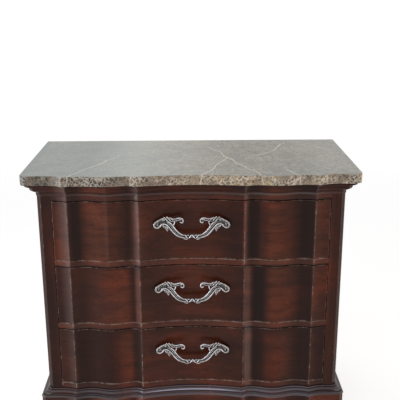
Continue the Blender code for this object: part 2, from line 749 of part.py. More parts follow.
def cast_mesh(name, path):
    """A flattened bar through (across, forward, up, radius) points, with closed ends."""
    curve = bpy.data.curves.new(name, "CURVE")
    curve.dimensions = "3D"
    curve.bevel_depth = 1.0
    curve.bevel_resolution = CAST_ROUNDNESS
    curve.resolution_u = CAST_STEPS
    curve.use_fill_caps = True
    spline = curve.splines.new("BEZIER")
    spline.bezier_points.add(len(path) - 1)
    for knot, (x, forward, z, radius) in zip(spline.bezier_points, path):
        knot.co = (x, -forward / PULL_FLATNESS, z)
        knot.radius = radius
        knot.handle_left_type = "AUTO"
        knot.handle_right_type = "AUTO"
    bar = bpy.data.objects.new(name, curve)
    CUTTERS.objects.link(bar)
    depsgraph = bpy.context.evaluated_depsgraph_get()
    mesh = bpy.data.meshes.new_from_object(bar.evaluated_get(depsgraph))
    bpy.data.objects.remove(bar)
    bm = bmesh.new()
    bm.from_mesh(mesh)
    bmesh.ops.remove_doubles(bm, verts=bm.verts, dist=MERGE)
    bmesh.ops.scale(bm, verts=bm.verts, vec=(1.0, PULL_FLATNESS, 1.0))
    return mesh_from(bm, name)


def joined_mesh(name, solids, holes):
    """One closed mesh of solids that overlap, with holes taken out of it."""
    bodies = []
    for index, mesh in enumerate(solids + holes):
        body = bpy.data.objects.new(f"{name}_{index}", mesh)
        CUTTERS.objects.link(body)
        bodies.append(body)
    for index, body in enumerate(bodies[1:], start=1):
        modifier = bodies[0].modifiers.new("Join", "BOOLEAN")
        modifier.operation = "UNION" if index < len(solids) else "DIFFERENCE"
        modifier.object = body
    depsgraph = bpy.context.evaluated_depsgraph_get()
    mesh = bpy.data.meshes.new_from_object(bodies[0].evaluated_get(depsgraph))
    for body in bodies:
        bpy.data.objects.remove(body)
    return mesh


def turned_mesh(name, profile, place, axis):
    """A mesh of one turned solid."""
    bm = bmesh.new()
    add_turned(bm, profile, place, axis)
    return mesh_from(bm, name)


def limb_path(points, side):
    """A limb's points on one side of the pull, measured from the pull's centre."""
    return [(side * (PULL_BOLT_SIDE + across), up, radius) for across, up, radius in points]


def stem_mesh():
    """The pull's stem and its two leaf heads, from left to right, as one bar."""
    left = list(reversed(limb_path(PULL_STEM, -1)))
    middle = (0.0, -PULL_STEM_DROP, PULL_STEM_RADIUS)
    whole = [*left, middle, *limb_path(PULL_STEM, 1)]
    return cast_mesh("stem", [(x, pull_forward(x), z, radius) for x, z, radius in whole])


def wrap_mesh():
    """The ribbon that winds round the middle of the stem."""
    path = []
    for knot in range(WRAP_KNOTS + 1):
        share = knot / WRAP_KNOTS
        turn = 2 * math.pi * PULL_WRAP_TURNS * share
        path.append((
            PULL_WRAP_HALF_LENGTH * (2 * share - 1),
            PULL_STEM_FORWARD + PULL_FLATNESS * PULL_STEM_RADIUS * math.sin(turn),
            -PULL_STEM_DROP + PULL_STEM_RADIUS * math.cos(turn),
            PULL_WRAP_RADIUS,
        ))
    return cast_mesh("wrap", path)


def pull_mesh():
    """The casting: stem and leaf heads, hooks, spurs, leaflets, collars and bosses."""
    limb_forward = pull_forward(PULL_BOLT_SIDE)
    limbs = (
        ("hook", PULL_HOOK, limb_forward),
        ("spur", PULL_SPUR, limb_forward),
        ("leaflet", PULL_LEAFLET, limb_forward),
        ("collar", PULL_COLLAR, limb_forward + PULL_COLLAR_LIFT),
    )
    boss = [
        (0.0, -BOSS_FOOT), (BOSS_RADIUS, -BOSS_FOOT),
        (BOSS_RADIUS, -limb_forward), (0.0, -limb_forward),
    ]
    radius = BOLT_RADIUS + TOUCH
    tip = BOSS_FOOT + BOLT_THREAD_LENGTH + TOUCH
    bore = [(0.0, -tip), (radius, -tip), (radius, FRONT_BACK_DEPTH), (0.0, FRONT_BACK_DEPTH)]
    solids = [stem_mesh()]
    holes = []
    for side, _ in SIDES:
        for word, points, forward in limbs:
            path = [(x, forward, z, radius) for x, z, radius in limb_path(points, side)]
            solids.append(cast_mesh(word, path))
        middle = (side * PULL_BOLT_SIDE, 0.0, 0.0)
        solids.append(turned_mesh("boss", boss, middle, (0.0, 1.0, 0.0)))
        holes.append(turned_mesh("bore", bore, middle, (0.0, 1.0, 0.0)))
    solids.append(wrap_mesh())
    return joined_mesh("pull", solids, holes)


def bolt_mesh():
    """A bolt that holds one end of a pull, with its head inside the drawer."""
    head = FRONT_BACK_DEPTH + TOUCH
    tip = BOSS_FOOT + BOLT_THREAD_LENGTH
    profile = [
        (0.0, -tip),
        (BOLT_RADIUS, -tip),
        (BOLT_RADIUS, head),
        (BOLT_HEAD_RADIUS, head),
        (BOLT_HEAD_RADIUS, head + BOLT_HEAD_HEIGHT / 2),
        (BOLT_HEAD_RADIUS / 2, head + BOLT_HEAD_HEIGHT),
        (0.0, head + BOLT_HEAD_HEIGHT),
    ]
    return turned_mesh("bolt", profile, (0.0, 0.0, 0.0), (0.0, 1.0, 0.0))


def drawer_boards():
    """The boards that the drawers share, by the last words of the piece's name."""
    half = OPENING_HALF - FRONT_SIDE_GAP
    outline = front_outline(CASE_LINE, half, FRONT_BACK_DEPTH)
    top = OPENING_HEIGHT - FRONT_TOP_GAP
    bm = bmesh.new()
    add_layers(bm, [flat_layer(outline, FRONT_BOTTOM_GAP), flat_layer(outline, top)])
    front = mesh_from(bm, "drawer_front")

    back_half = DRAWER_INNER_HALF - TOUCH
    bottom_top = DRAWER_BOTTOM_LOW + DRAWER_BOTTOM_THICKNESS
    bm = bmesh.new()
    low = (-back_half, DRAWER_REAR - DRAWER_BACK_THICKNESS, bottom_top + TOUCH)
    add_box(bm, low, (back_half, DRAWER_REAR, DRAWER_SIDE_HEIGHT - DRAWER_BACK_DROP))
    back = mesh_from(bm, "drawer_back")

    bottom_half = DRAWER_INNER_HALF + BOTTOM_GROOVE_DEPTH - TOUCH
    bm = bmesh.new()
    low = (-bottom_half, FRONT_BACK_DEPTH - BOTTOM_GROOVE_DEPTH + TOUCH, DRAWER_BOTTOM_LOW)
    add_box(bm, low, (bottom_half, DRAWER_REAR, bottom_top))
    bottom = mesh_from(bm, "drawer_bottom")
    return {
        "front": (front, MAHOGANY),
        "side_left": (drawer_side_mesh(-1), POPLAR),
        "side_right": (drawer_side_mesh(1), POPLAR),
        "back": (back, POPLAR),
        "bottom": (bottom, PANEL_WOOD),
    }


def build_drawer(number, boards, pull, bolt, tool_mesh, chest):
    """One drawer, on an empty at the middle of its opening's lower edge."""
    drawer = new_empty(f"drawer_{number}", (0.0, 0.0, opening_bottom(number)), chest)
    for word, (mesh, material) in boards.items():
        new_object(f"drawer_{number}_{word}", mesh, material, drawer)
    tool = cutter(f"drawer_{number}_cutter", tool_mesh, drawer)
    cut(bpy.data.objects[f"drawer_{number}_front"], tool)
    casting = new_object(f"drawer_{number}_pull", pull, SILVER, drawer, rounded=True)
    casting.location.z = PULL_BOLT_HEIGHT
    for side, word in SIDES:
        name = f"drawer_{number}_pull_bolt_{word}"
        screw = new_object(name, bolt, STEEL, drawer, rounded=True)
        screw.location = (side * PULL_BOLT_SIDE, 0.0, PULL_BOLT_HEIGHT)


def main():
    """Build the whole chest."""
    chest = new_empty("bachelors_chest", (0.0, -CHEST_MIDDLE_Y, 0.0))
    build_marble(chest)
    moulded_frame("cornice", cornice_profile(), MARBLE_BOTTOM, chest)
    frame_back("cornice_back", CASE_TOP + TOUCH, MARBLE_BOTTOM - TOUCH, chest)
    build_case(chest)
    build_rails(chest)
    build_runners(chest)
    moulded_frame("base_moulding", base_profile(), CASE_BOTTOM, chest)
    frame_back("base_back", PLINTH_HEIGHT + TOUCH, CASE_BOTTOM - TOUCH, chest)
    build_plinth(chest)
    boards = drawer_boards()
    pull = pull_mesh()
    bolt = bolt_mesh()
    tool_mesh = drawer_cutter_mesh()
    for number in range(1, DRAWER_COUNT + 1):
        build_drawer(number, boards, pull, bolt, tool_mesh, chest)
    bpy.context.view_layer.update()


clear_scene()
PARTS = new_collection("bachelors_chest")
CUTTERS = new_collection("cutters")
MAHOGANY = principled("mahogany", (0.050, 0.015, 0.010), 0.28)
POPLAR = principled("poplar", (0.42, 0.29, 0.16), 0.6)
PANEL_WOOD = principled("panel_wood", (0.45, 0.33, 0.20), 0.65)
MARBLE = principled("brown_marble", (0.20, 0.155, 0.115), 0.12)
SILVER = principled("antique_silver", (0.50, 0.49, 0.47), 0.35, metallic=1.0)
STEEL = principled("zinc_plated_steel", (0.55, 0.55, 0.54), 0.4, metallic=1.0)
main()
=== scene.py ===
"""The finished surfaces of a marble-topped bachelor's chest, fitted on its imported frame.

Everything is in metres, with the drawers facing -Y and the floor at Z = 0. The chest is
joinery: straight boards and mouldings that are shaped to one front line, cast pulls, a
polished slab and a few plain boards that keep the frame's own shape.
"""

import math
from collections import namedtuple
from contextlib import contextmanager
from functools import partial

import bmesh
import bpy
import numpy as np
from bpy.props import FloatProperty, FloatVectorProperty, PointerProperty
from mathutils import Matrix, Vector


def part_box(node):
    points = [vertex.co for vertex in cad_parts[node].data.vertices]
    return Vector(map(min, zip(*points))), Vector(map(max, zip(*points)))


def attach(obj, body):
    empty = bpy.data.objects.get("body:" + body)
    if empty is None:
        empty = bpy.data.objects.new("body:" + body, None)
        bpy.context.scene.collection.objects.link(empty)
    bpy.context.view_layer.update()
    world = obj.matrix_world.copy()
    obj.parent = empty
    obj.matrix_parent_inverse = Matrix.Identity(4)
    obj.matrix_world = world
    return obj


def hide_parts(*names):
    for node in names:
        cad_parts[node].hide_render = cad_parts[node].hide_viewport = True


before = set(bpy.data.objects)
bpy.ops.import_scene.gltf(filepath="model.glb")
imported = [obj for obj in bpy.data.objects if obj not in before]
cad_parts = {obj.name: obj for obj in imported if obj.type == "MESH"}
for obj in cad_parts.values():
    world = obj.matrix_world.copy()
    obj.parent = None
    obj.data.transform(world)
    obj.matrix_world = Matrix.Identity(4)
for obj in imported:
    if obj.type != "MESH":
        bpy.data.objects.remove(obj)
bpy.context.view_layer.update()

bl_info = {
    "name": "Bachelor's Chest",
    "version": (1, 0, 0),
    "blender": (4, 5, 0),
    "location": "View3D > Sidebar > Chest",
    "description": "Shapes, casts and polishes a bachelor's chest on its frame",
    "category": "Add Mesh",
}

MM = 0.001
HALVES = ((-1, "left"), (1, "right"))
DRAWERS = (1, 2, 3)

# Where the case stands, read from the frame.
STILE_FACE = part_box("stile_right")[0].y
OPENING_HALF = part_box("stile_right")[0].x
CASE_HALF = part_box("stile_right")[1].x
CASE_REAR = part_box("back_panel")[1].y
CANT = 12 * MM

# The front line from the middle out, and how far forward of the stile faces it lies.
HOLLOW_HALF_WIDTH = 162 * MM
INNER_COVE_WIDTH = 23 * MM
SWELL_WIDTH = 147 * MM
OUTER_COVE_WIDTH = 45 * MM
FrontLine = namedtuple("FrontLine", "hollow arris valley swell end spread")
CASE_LINE = FrontLine(-9.5 * MM, 12 * MM, 2 * MM, 15.5 * MM, 0.0, 0.0)
SLAB_LINE = FrontLine(40 * MM, 56.5 * MM, 48.5 * MM, 57 * MM, 39.5 * MM, 5 * MM)

# Columns along each stretch of the front line, close enough to shine without facets, and how
# far inside the inner arris one more lies, where the pale line of wear and painted highlight ends.
STRETCH_COLUMNS = (18, 8, 22, 12, 12)
ARRIS_BAND = 4 * MM

# Mouldings are given by how far each point lies below the top and stands out from the case.
FRAME_DEPTH = 45 * MM
MITRE_GAP = 0.3 * MM
PLINTH_PROJECTION = 22 * MM
PLINTH_THICKNESS = 16 * MM

# How far the upright arrises of the slab's front are rounded.
SLAB_ARRIS = 7 * MM

# The back is nailed at its corners and at even steps between them.
NAIL_INSET = 12 * MM
NAILS_ACROSS = 9
NAILS_UP = 8

# A pull hangs on two bolts. Its casting is given from the middle of the bolt line, in
# millimetres: across, up, radius, and how far its middle lies in front of the stem's.
BOLT_SIDE = 80.0
BOLT_RISE = 0.1298
STEM_FORWARD = 18.1
HEAD_FORWARD = 9.5
SWING_START = 45.0
SWING_END = 98.0
CAST_FLATNESS = 0.62

CAST_BARS = (
    # The stem's body and its upper and lower rims.
    (
        (0, -48.8, 4.6, -2.4), (26.8, -47.8, 4.8, -3.4), (43, -40.5, 5.6, -4.6),
        (60, -22, 5.8, -4.8), (80, -6.5, 6.2, -5.0), (98, -8.0, 7.2, -5.6),
        (106, -16.0, 6.6, -5.2),
    ),
    (
        (10, -44.8, 1.7, 1.6), (27, -43.9, 1.9, 2.2), (38, -37.4, 2.0, 2.4),
        (47.2, -28.6, 2.0, 2.4), (54.6, -18.8, 2.0, 2.4), (60, -10.8, 2.0, 2.4),
        (66.5, -5.4, 1.9, 2.4), (74, -2.6, 1.6, 2.2),
    ),
    (
        (10, -52.6, 1.9, 1.6), (27, -51.2, 2.2, 2.2), (36, -49.2, 2.4, 2.4), (46, -44.4, 2.5, 2.6),
        (55, -36.8, 2.4, 2.6), (65, -25.0, 2.4, 2.6), (73, -15.8, 2.3, 2.8), (80, -11.4, 2.2, 3.0),
        (87, -10.6, 2.0, 3.2), (93, -13.4, 1.9, 3.2), (95.6, -18.0, 2.3, 3.2),
    ),
    # The rim and the fold of the leaf head.
    (
        (78, 9.0, 2.2, 1.4), (87, 6.2, 2.9, 1.8), (96, 1.6, 3.2, 2.0), (105.5, -4.0, 3.4, 2.2),
        (112.4, -11.4, 3.7, 2.0), (113.0, -18.6, 3.6, 1.8), (108.2, -23.0, 2.8, 1.8),
        (101.4, -22.6, 2.1, 2.2), (97.8, -19.0, 1.5, 2.4),
    ),
    (
        (80, 3.6, 1.1, 1.0), (88, 0.4, 1.4, 1.4), (96, -4.0, 1.5, 1.6), (103, -9.6, 1.5, 1.4),
        (105.4, -15.4, 1.2, 1.0),
    ),
    # The rim, blade and edge of the hook.
    (
        (76, 9.8, 2.4, 2.4), (68, 9.2, 2.1, 2.4), (59, 7.6, 1.9, 2.4), (50, 7.4, 1.8, 2.4),
        (42, 9.8, 1.8, 2.4), (34.5, 10.4, 1.9, 2.4), (28, 6.4, 2.0, 2.2), (26.4, -0.6, 2.0, 2.0),
        (30.2, -4.6, 1.9, 1.8), (34.6, -2.6, 1.5, 1.4),
    ),
    (
        (76, 3.4, 5.0, -3.0), (66, 3.4, 4.7, -3.2), (54, 4.0, 4.0, -3.0), (42, 5.6, 3.6, -2.8),
        (34, 5.4, 3.4, -2.4),
    ),
    ((70, -0.6, 1.1, 1.2), (58, -0.2, 1.1, 1.2), (46, 2.0, 1.0, 1.0), (37, 3.4, 0.8, 0.6)),
    # The spur between them and the flare under the stem.
    ((52.4, 1.2, 1.5, 1.0), (52.2, -4.6, 1.7, 1.6), (55.6, -12.4, 1.9, 2.0)),
    ((10, -54.0, 1.6, 2.0), (17, -56.4, 2.3, 2.4), (25, -54.6, 1.3, 1.8)),
    # The lobes of the collar.
    ((83.4, 10.6, 2.0, 2.6), (78.6, 6.4, 2.8, 3.4), (73.2, -0.8, 2.2, 2.8)),
    ((75.2, 12.4, 1.7, 2.6), (70.4, 8.0, 2.4, 3.2), (65.4, 2.6, 1.8, 2.4)),
    ((65.6, 11.0, 1.4, 2.4), (61.0, 7.4, 2.0, 2.8), (56.4, 3.4, 1.5, 2.0)),
    # The lobes of the leaflet.
    ((90.0, -14.4, 1.7, 0.2), (85.4, -18.4, 2.5, 0.8), (81.4, -24.4, 1.7, 0.2)),
    ((81.6, -18.2, 1.9, 0.2), (78.0, -25.0, 2.8, 0.8), (74.2, -32.4, 1.2, 0.0)),
    ((75.6, -19.6, 1.4, 0.2), (73.4, -24.4, 2.0, 0.6), (72.2, -29.4, 0.9, 0.0)),
)
BEAD_PATH = ((30.5, -47.6), (40, -43.2), (48, -36.0), (55, -27.4), (61, -18.8), (67.5, -11.8))
BEAD_COUNT = 13
BEAD_RADIUS = 1.3
BEAD_LIFT = 1.6
BOSS_RADIUS = 5.2
BOSS_CLEARANCE = 0.3
RIBBON_HALF_LENGTH = 22.0
RIBBON_MIDDLE = -48.8
RIBBON_RISE = 5.2
RIBBON_SWING = 5.6
RIBBON_RADIUS = 1.6
RIBBON_TURNS = 2.0
RIBBON_KNOTS = 24

# The long veins of the slab, in millimetres across and back from its middle.
LONG_VEINS = (
    ((-368, -262), (-232, 34)), ((58, 134), (232, -300)), ((118, -20), (20, -262)),
    ((330, 194), (214, 0)), ((294, -168), (330, -290)), ((-62, -268), (-50, -330)),
)

# How strongly the sky lights the chest.
SKY_STRENGTH = 0.16
# How much of the floor's own shade is seen round the chest, and how brightly it is lit there.
FLOOR_SHADE = 0.6
FLOOR_LIGHT = 0.43
# How far from the middle of the floor its shade begins to fade, and where it has gone.
FLOOR_FADE = (0.9, 4.0)
FLOOR_SIZE = 120.0
# The camera: place, lens in millimetres, and how far it is turned down, aside and over.
CAMERA_PLACE = (-0.0064, -2.3193, 1.4241)
CAMERA_LENS = 66.11
CAMERA_DEGREES = (16.82, 0.86, 0.22)
# The lamps: place, what they are turned to, width and height, watts and colour.
LAMPS = (
    ("left_box", (-2.4, -0.8, 0.9), (-0.2, -0.2, 0.5), (1.2, 1.8), 36.0, "#f3f6ff"),
    ("right_box", (2.4, -0.8, 0.9), (0.2, -0.2, 0.5), (1.2, 1.8), 17.0, "#fff0e6"),
    ("overhead", (0.0, 1.2, 2.8), (0.0, 0.0, 0.5), (2.5, 2.5), 22.0, "#ffffff"),
    ("front", (-0.9, -3.0, 2.4), (0.0, -0.2, 0.5), (1.6, 1.6), 12.0, "#ffffff"),
)


def linear(hex_colour):
    """A hex sRGB colour as linear red, green and blue."""
    shares = [int(hex_colour[place:place + 2], 16) / 255 for place in (1, 3, 5)]
    return tuple(s / 12.92 if s <= 0.04045 else ((s + 0.055) / 1.055) ** 2.4 for s in shares)


def metres(name, description, default):
    """A setting in metres."""
    return FloatProperty(name=name, description=description, default=default, unit="LENGTH")


def paint(name, description, default):
    """A setting that is a colour."""
    return FloatVectorProperty(
        name=name, description=description, default=linear(default), subtype="COLOR", size=3
    )


class ChestSizes(bpy.types.PropertyGroup):
    """Sizes that the finish can change without the frame."""

    slab_ease: metres("Slab ease", "How far the slab's polished edges are rounded", 2.5 * MM)
    board_ease: metres(
        "Board ease", "How far the edges of the shaped boards are rubbed down", 1.6 * MM
    )
    moulding_ease: metres(
        "Moulding ease", "How far the arrises of the mouldings are rounded", 0.5 * MM
    )
    casting_grain: metres(
        "Casting grain", "The finest detail that the casting of a pull keeps", 0.5 * MM
    )
    nail_radius: metres("Nail head", "Radius of the nail heads round the back panel", 2.6 * MM)


class ChestColours(bpy.types.PropertyGroup):
    """Colours of the finishes."""

    stain: paint("Stain", "The main colour of the stained mahogany", "#6d3b2a")
    stain_dark: paint("Dark stain", "The mahogany where the stain has gathered", "#552c21")
    stain_red: paint("Red stain", "The mahogany where light comes back out of it", "#844731")
    # This colour is also the painted shade in creases, gaps, recesses and under the slab.
    glaze_and_shade: paint("Glaze", "The dark glaze that stays in the hollows of the front", "#220f0a")
    bare_edge: paint("Rubbed edge", "Wood that shows where an edge is rubbed", "#b89e92")
    marble: paint("Marble", "The main brown of the marble", "#86766a")
    marble_vein: paint("Marble vein", "The cream veins of the marble", "#ece3d4")
    silver: paint("Silver", "The rubbed high places of the pulls", "#e6e3e8")
    floor: paint("Floor", "The pale floor", "#f7f7f6")


# Shapes of the chest.

def arris_places(line):
    """Where the front line changes from one stretch to the next, outwards from the middle."""
    inner_arris = HOLLOW_HALF_WIDTH + line.spread
    inner_valley = inner_arris + INNER_COVE_WIDTH
    outer_valley = inner_valley + SWELL_WIDTH
    return inner_arris, inner_valley, outer_valley, outer_valley + OUTER_COVE_WIDTH


def relief(x, line):
    """How far forward of the stile faces the front line lies, x metres from the middle."""
    side = abs(x)
    inner_arris, inner_valley, outer_valley, outer_arris = arris_places(line)
    if side <= inner_arris:
        return line.hollow + (line.arris - line.hollow) * (side / inner_arris) ** 2
    if side <= inner_valley:
        share = (inner_valley - side) / INNER_COVE_WIDTH
        return line.valley + (line.arris - line.valley) * share ** 2
    if side <= outer_valley:
        turn = 2 * math.pi * (side - inner_valley) / SWELL_WIDTH
        return line.valley + (line.swell - line.valley) * (1 - math.cos(turn)) / 2
    if side <= outer_arris:
        share = (side - outer_valley) / OUTER_COVE_WIDTH
        return line.valley + (line.arris - line.valley) * share ** 2
    share = max(0.0, (OPENING_HALF - side) / (OPENING_HALF - outer_arris))
    return line.end + (line.arris - line.end) * share ** 2


def columns(line, half):
    """Places across the chest from one end to the other, with one on every arris."""
    ends = (0.0, *arris_places(line), OPENING_HALF)
    right = []
    for start, end, count in zip(ends, ends[1:], STRETCH_COLUMNS):
        right += [start + (end - start) * step / count for step in range(1, count + 1)]
    right.append(ends[1] - ARRIS_BAND)
    right = [x for x in sorted(right) if x < half - MM] + [half]
    return [-x for x in reversed(right)] + [0.0] + right


def front_row(places, line, projection=0.0):
    """The points of the front line at these places, standing out by a projection."""
    return [(x, STILE_FACE - relief(x, line) - projection) for x in places]


def canted_row(line, end_x, corner_out, projection=0.0):
    """The front line from one end to the other, with a canted corner at each."""
    corner = [(end_x - CANT, STILE_FACE - corner_out), (end_x, STILE_FACE + CANT - corner_out)]
    row = front_row(columns(line, OPENING_HALF), line, projection)
    return [(-x, y) for x, y in reversed(corner)] + row + corner


# How dark each drawer front and its rail are along their width, from the left stile to the
# right one: millimetres across and share. The dark is dark glaze in the hollows together with
# painted shade and painted reflection, which differ from drawer to drawer.
GLAZE_AND_SHADE = {
    1: (
        (-434, 0.75), (-426, 0.62), (-410, 0.50), (-380, 0.38), (-374, 0.70), (-362, 0.95),
        (-344, 0.92), (-330, 0.42), (-314, 0.08), (-290, 0.00), (-260, 0.00), (-256, 0.24),
        (-235, 0.24), (-212, 0.58), (-196, 0.85), (-187, 0.75), (-176, 0.25), (-166, 0.02),
        (-150, 0.22), (-130, 0.42), (-100, 0.48), (0, 0.42), (50, 0.46), (90, 0.70),
        (125, 0.84), (155, 0.84), (160, 0.18), (166, 0.24), (172, 0.82), (182, 0.98),
        (203, 0.95), (214, 0.65), (228, 0.55), (242, 0.12), (262, 0.08), (285, 0.34),
        (305, 0.56), (325, 0.80), (340, 0.97), (372, 0.97), (376, 0.50), (379, 0.08),
        (400, 0.20), (426, 0.34), (434, 0.55),
    ),
    2: (
        (-434, 0.82), (-426, 0.80), (-410, 0.80), (-380, 0.70), (-374, 0.62), (-362, 0.62),
        (-344, 0.72), (-330, 0.66), (-314, 0.58), (-286, 0.52), (-270, 0.38), (-250, 0.18),
        (-236, 0.02), (-216, 0.00), (-204, 0.15), (-196, 0.40), (-187, 0.80), (-181, 0.75),
        (-174, 0.20), (-164, 0.08), (-154, 0.42), (-60, 0.40), (0, 0.38), (30, 0.44),
        (60, 0.50), (90, 0.58), (125, 0.72), (158, 0.76), (162, 0.35), (166, 0.10),
        (180, 0.20), (188, 0.80), (198, 1.00), (222, 1.00), (236, 0.50), (250, 0.14),
        (262, 0.08), (285, 0.26), (305, 0.40), (325, 0.62), (338, 0.85), (372, 0.95),
        (376, 0.60), (379, 0.28), (400, 0.44), (426, 0.52), (434, 0.60),
    ),
    3: (
        (-434, 0.70), (-426, 0.60), (-410, 0.55), (-380, 0.50), (-374, 0.60), (-362, 0.85),
        (-344, 0.88), (-330, 0.85), (-314, 0.84), (-280, 0.88), (-258, 0.85), (-242, 0.66),
        (-226, 0.40), (-210, 0.28), (-200, 0.24), (-192, 0.50), (-187, 0.75), (-175, 0.92),
        (-166, 0.88), (-158, 0.35), (-146, 0.36), (-120, 0.44), (0, 0.44), (60, 0.46),
        (90, 0.52), (125, 0.66), (160, 0.66), (164, 0.45), (168, 0.02), (182, 0.02),
        (189, 0.60), (198, 0.95), (222, 0.90), (236, 0.60), (262, 0.44), (285, 0.34),
        (305, 0.48), (325, 0.75), (340, 0.88), (372, 0.94), (376, 0.80), (379, 0.62),
        (392, 0.82), (426, 0.88), (434, 0.80),
    ),
}
# How pale the arrises of each drawer are, in the same way: worn edges together with painted
# highlights, and on the first drawer a painted highlight along the crest of the left swell.
WEAR_AND_HIGHLIGHT = {
    1: (
        (-414, 0.0), (-404, 0.05), (-390, 0.10), (-378, 0.18), (-373, 0.0), (-266, 0.0),
        (-261, 0.10), (-256, 0.0), (-188, 0.0), (-178, 0.04), (-170, 0.10), (-164, 0.13),
        (-157, 0.02), (-150, 0.0), (158, 0.0), (162, 0.12), (167, 0.0), (375, 0.0),
        (377, 0.09), (381, 0.0),
    ),
    2: (
        (-410, 0.0), (-398, 0.04), (-388, 0.08), (-378, 0.14), (-373, 0.0), (-180, 0.0),
        (-172, 0.07), (-165, 0.08), (-158, 0.0), (160, 0.0), (166, 0.08), (178, 0.09),
        (186, 0.0), (375, 0.0), (377, 0.05), (381, 0.0),
    ),
    3: (
        (-404, 0.0), (-385, 0.05), (-376, 0.06), (-372, 0.0), (-168, 0.0), (-162, 0.04),
        (-156, 0.0), (163, 0.0), (170, 0.20), (182, 0.18), (190, 0.0), (375, 0.0),
        (377, 0.03), (381, 0.0),
    ),
}
# How much painted sheen, a painted reflection in a pale blue-white, lies over the base's lacquer.
BASE_PAINTED_SHEEN = (
    (-430, 0.03), (-300, 0.05), (-180, 0.06), (-150, 0.07), (150, 0.08), (330, 0.06), (440, 0.02),
)
# Painted highlights along the high lines of the base, its cove and the lip of the cornice.
BASE_HIGHLIGHT_LINES = (
    (-440, 0.03), (-300, 0.06), (-200, 0.08), (-172, 0.24), (-150, 0.14), (0, 0.18),
    (150, 0.16), (260, 0.24), (360, 0.24), (440, 0.08),
)
BASE_COVE_HIGHLIGHT = (
    (-440, 0.0), (-300, 0.04), (-210, 0.06), (-172, 0.20), (-150, 0.40), (-100, 0.75),
    (-40, 0.95), (40, 0.95), (90, 0.80), (130, 0.40), (160, 0.12), (300, 0.22), (377, 0.12),
    (440, 0.04),
)
CORNICE_LIP_HIGHLIGHT = (
    (-440, 0.06), (-340, 0.12), (-200, 0.16), (-150, 0.12), (150, 0.14), (190, 0.20),
    (340, 0.22), (440, 0.08),
)
# How far painted shade reaches beside a shade line.
SHADE_REACH = 12 * MM


def along(table, x):
    """The value of a table of (millimetres, value) pairs at x metres, level past its ends."""
    across = x / MM
    if across <= table[0][0]:
        return table[0][1]
    for (start, first), (end, last) in zip(table, table[1:]):
        if across <= end:
            return first + (last - first) * (across - start) / (end - start)
    return table[-1][1]


def note_points(piece, name, values):
    """Write one value for each point of a piece, for its material to read."""
    note = piece.data.attributes.new(name, "FLOAT", "POINT")
    note.data.foreach_set("value", values)


def glaze_and_shade(piece, drawer=1, strength=1.0, rubbing=None, quirks=(), lines=()):
    """Glaze a piece, with painted shade and painted reflection in the same dark, keep its high
    places light, and paint its arrises pale with wear and painted highlights.

    A quirk is the height of a line with painted shade beside it, how far that shade reaches,
    and how dark in the middle hollow and outside it. A line is a stretch of height that carries
    a painted highlight from end to end, how far it stands out at least, and its table.
    """
    table = GLAZE_AND_SHADE[drawer]
    rubbing = rubbing or WEAR_AND_HIGHLIGHT[drawer]
    darks, pales = [], []
    for corner in piece.data.vertices:
        x, y, z = corner.co
        dark, pale = strength * along(table, x), along(rubbing, x)
        out = STILE_FACE - relief(x, CASE_LINE) - y
        for height, reach, inside, outside in quirks:
            most = inside if abs(x) < HOLLOW_HALF_WIDTH else outside
            dark = max(dark, most * (1 - abs(z - height) / reach))
        for bottom, top, least, shares in lines:
            if bottom < z < top and out > least:
                pale = along(shares, x)
        darks.append(dark)
        pales.append(pale)
    note_points(piece, "glaze_and_shade", darks)
    note_points(piece, "rubbing", pales)


# Tools of the bench.

def start_piece(name):
    """Name the primitive that was just added and return it."""
    piece = bpy.context.object
    piece.name = name
    piece.data.name = name
    return piece


def only(piece):
    """Select one piece alone and make it active."""
    bpy.ops.object.select_all(action="DESELECT")
    piece.select_set(True)
    bpy.context.view_layer.objects.active = piece


@contextmanager
def editing(select="SELECT"):
    """Edit mode on the active piece, with all of it selected, or with DESELECT nothing."""
    bpy.ops.object.mode_set(mode="EDIT")
    bpy.ops.mesh.select_all(action=select)
    yield
    bpy.ops.object.mode_set(mode="OBJECT")


def turn_outward():
    """Turn every face of the piece in edit mode outward."""
    bpy.ops.mesh.select_all(action="SELECT")
    bpy.ops.mesh.normals_make_consistent(inside=False)


def apply_modifier(piece, kind, name, **settings):
    """Give a piece a modifier with its settings and apply it."""
    only(piece)
    modifier = piece.modifiers.new(name, kind)
    for key, value in settings.items():
        setattr(modifier, key, value)
    bpy.ops.object.modifier_apply(modifier=modifier.name)


def drawn_strip(name, layers):
    """A solid drawn down from a strip of quads.

    Each layer is a height and two rows of (x, y) points, the outer and the inner edge of
    the strip. The strip starts at the first layer and is extruded to each of the others.
    """
    count = len(layers[0][1])
    bpy.ops.mesh.primitive_grid_add(x_subdivisions=count - 1, y_subdivisions=1, size=2.0)
    piece = start_piece(name)
    with editing():
        bm = bmesh.from_edit_mesh(piece.data)
        column = bm.verts.layers.int.new("column")
        row = bm.verts.layers.int.new("row")
        for corner in bm.verts:
            corner[column] = round((corner.co.x + 1) / 2 * (count - 1))
            corner[row] = int(corner.co.y > 0)
        for step, (height, outer, inner) in enumerate(layers):
            if step:
                bpy.ops.mesh.extrude_region_move(TRANSFORM_OT_translate={"value": (0, 0, -MM)})
                bm = bmesh.from_edit_mesh(piece.data)
                column = bm.verts.layers.int["column"]
                row = bm.verts.layers.int["row"]
            for corner in bm.verts:
                if corner.select:
                    x, y = (outer, inner)[corner[row]][corner[column]]
                    corner.co = (x, y, height)
            bmesh.update_edit_mesh(piece.data)
        turn_outward()
    return piece


def ease(piece, width, segments=3, angle=32, marked=True):
    """Round the sharp edges of a piece. Marked edges take its second material."""
    while marked and len(piece.data.materials) < 2:
        piece.data.materials.append(None)
    apply_modifier(
        piece, "BEVEL", "Ease", width=width, segments=segments, limit_method="ANGLE",
        angle_limit=math.radians(angle), use_clamp_overlap=True,
        material=1 if marked else -1,
    )


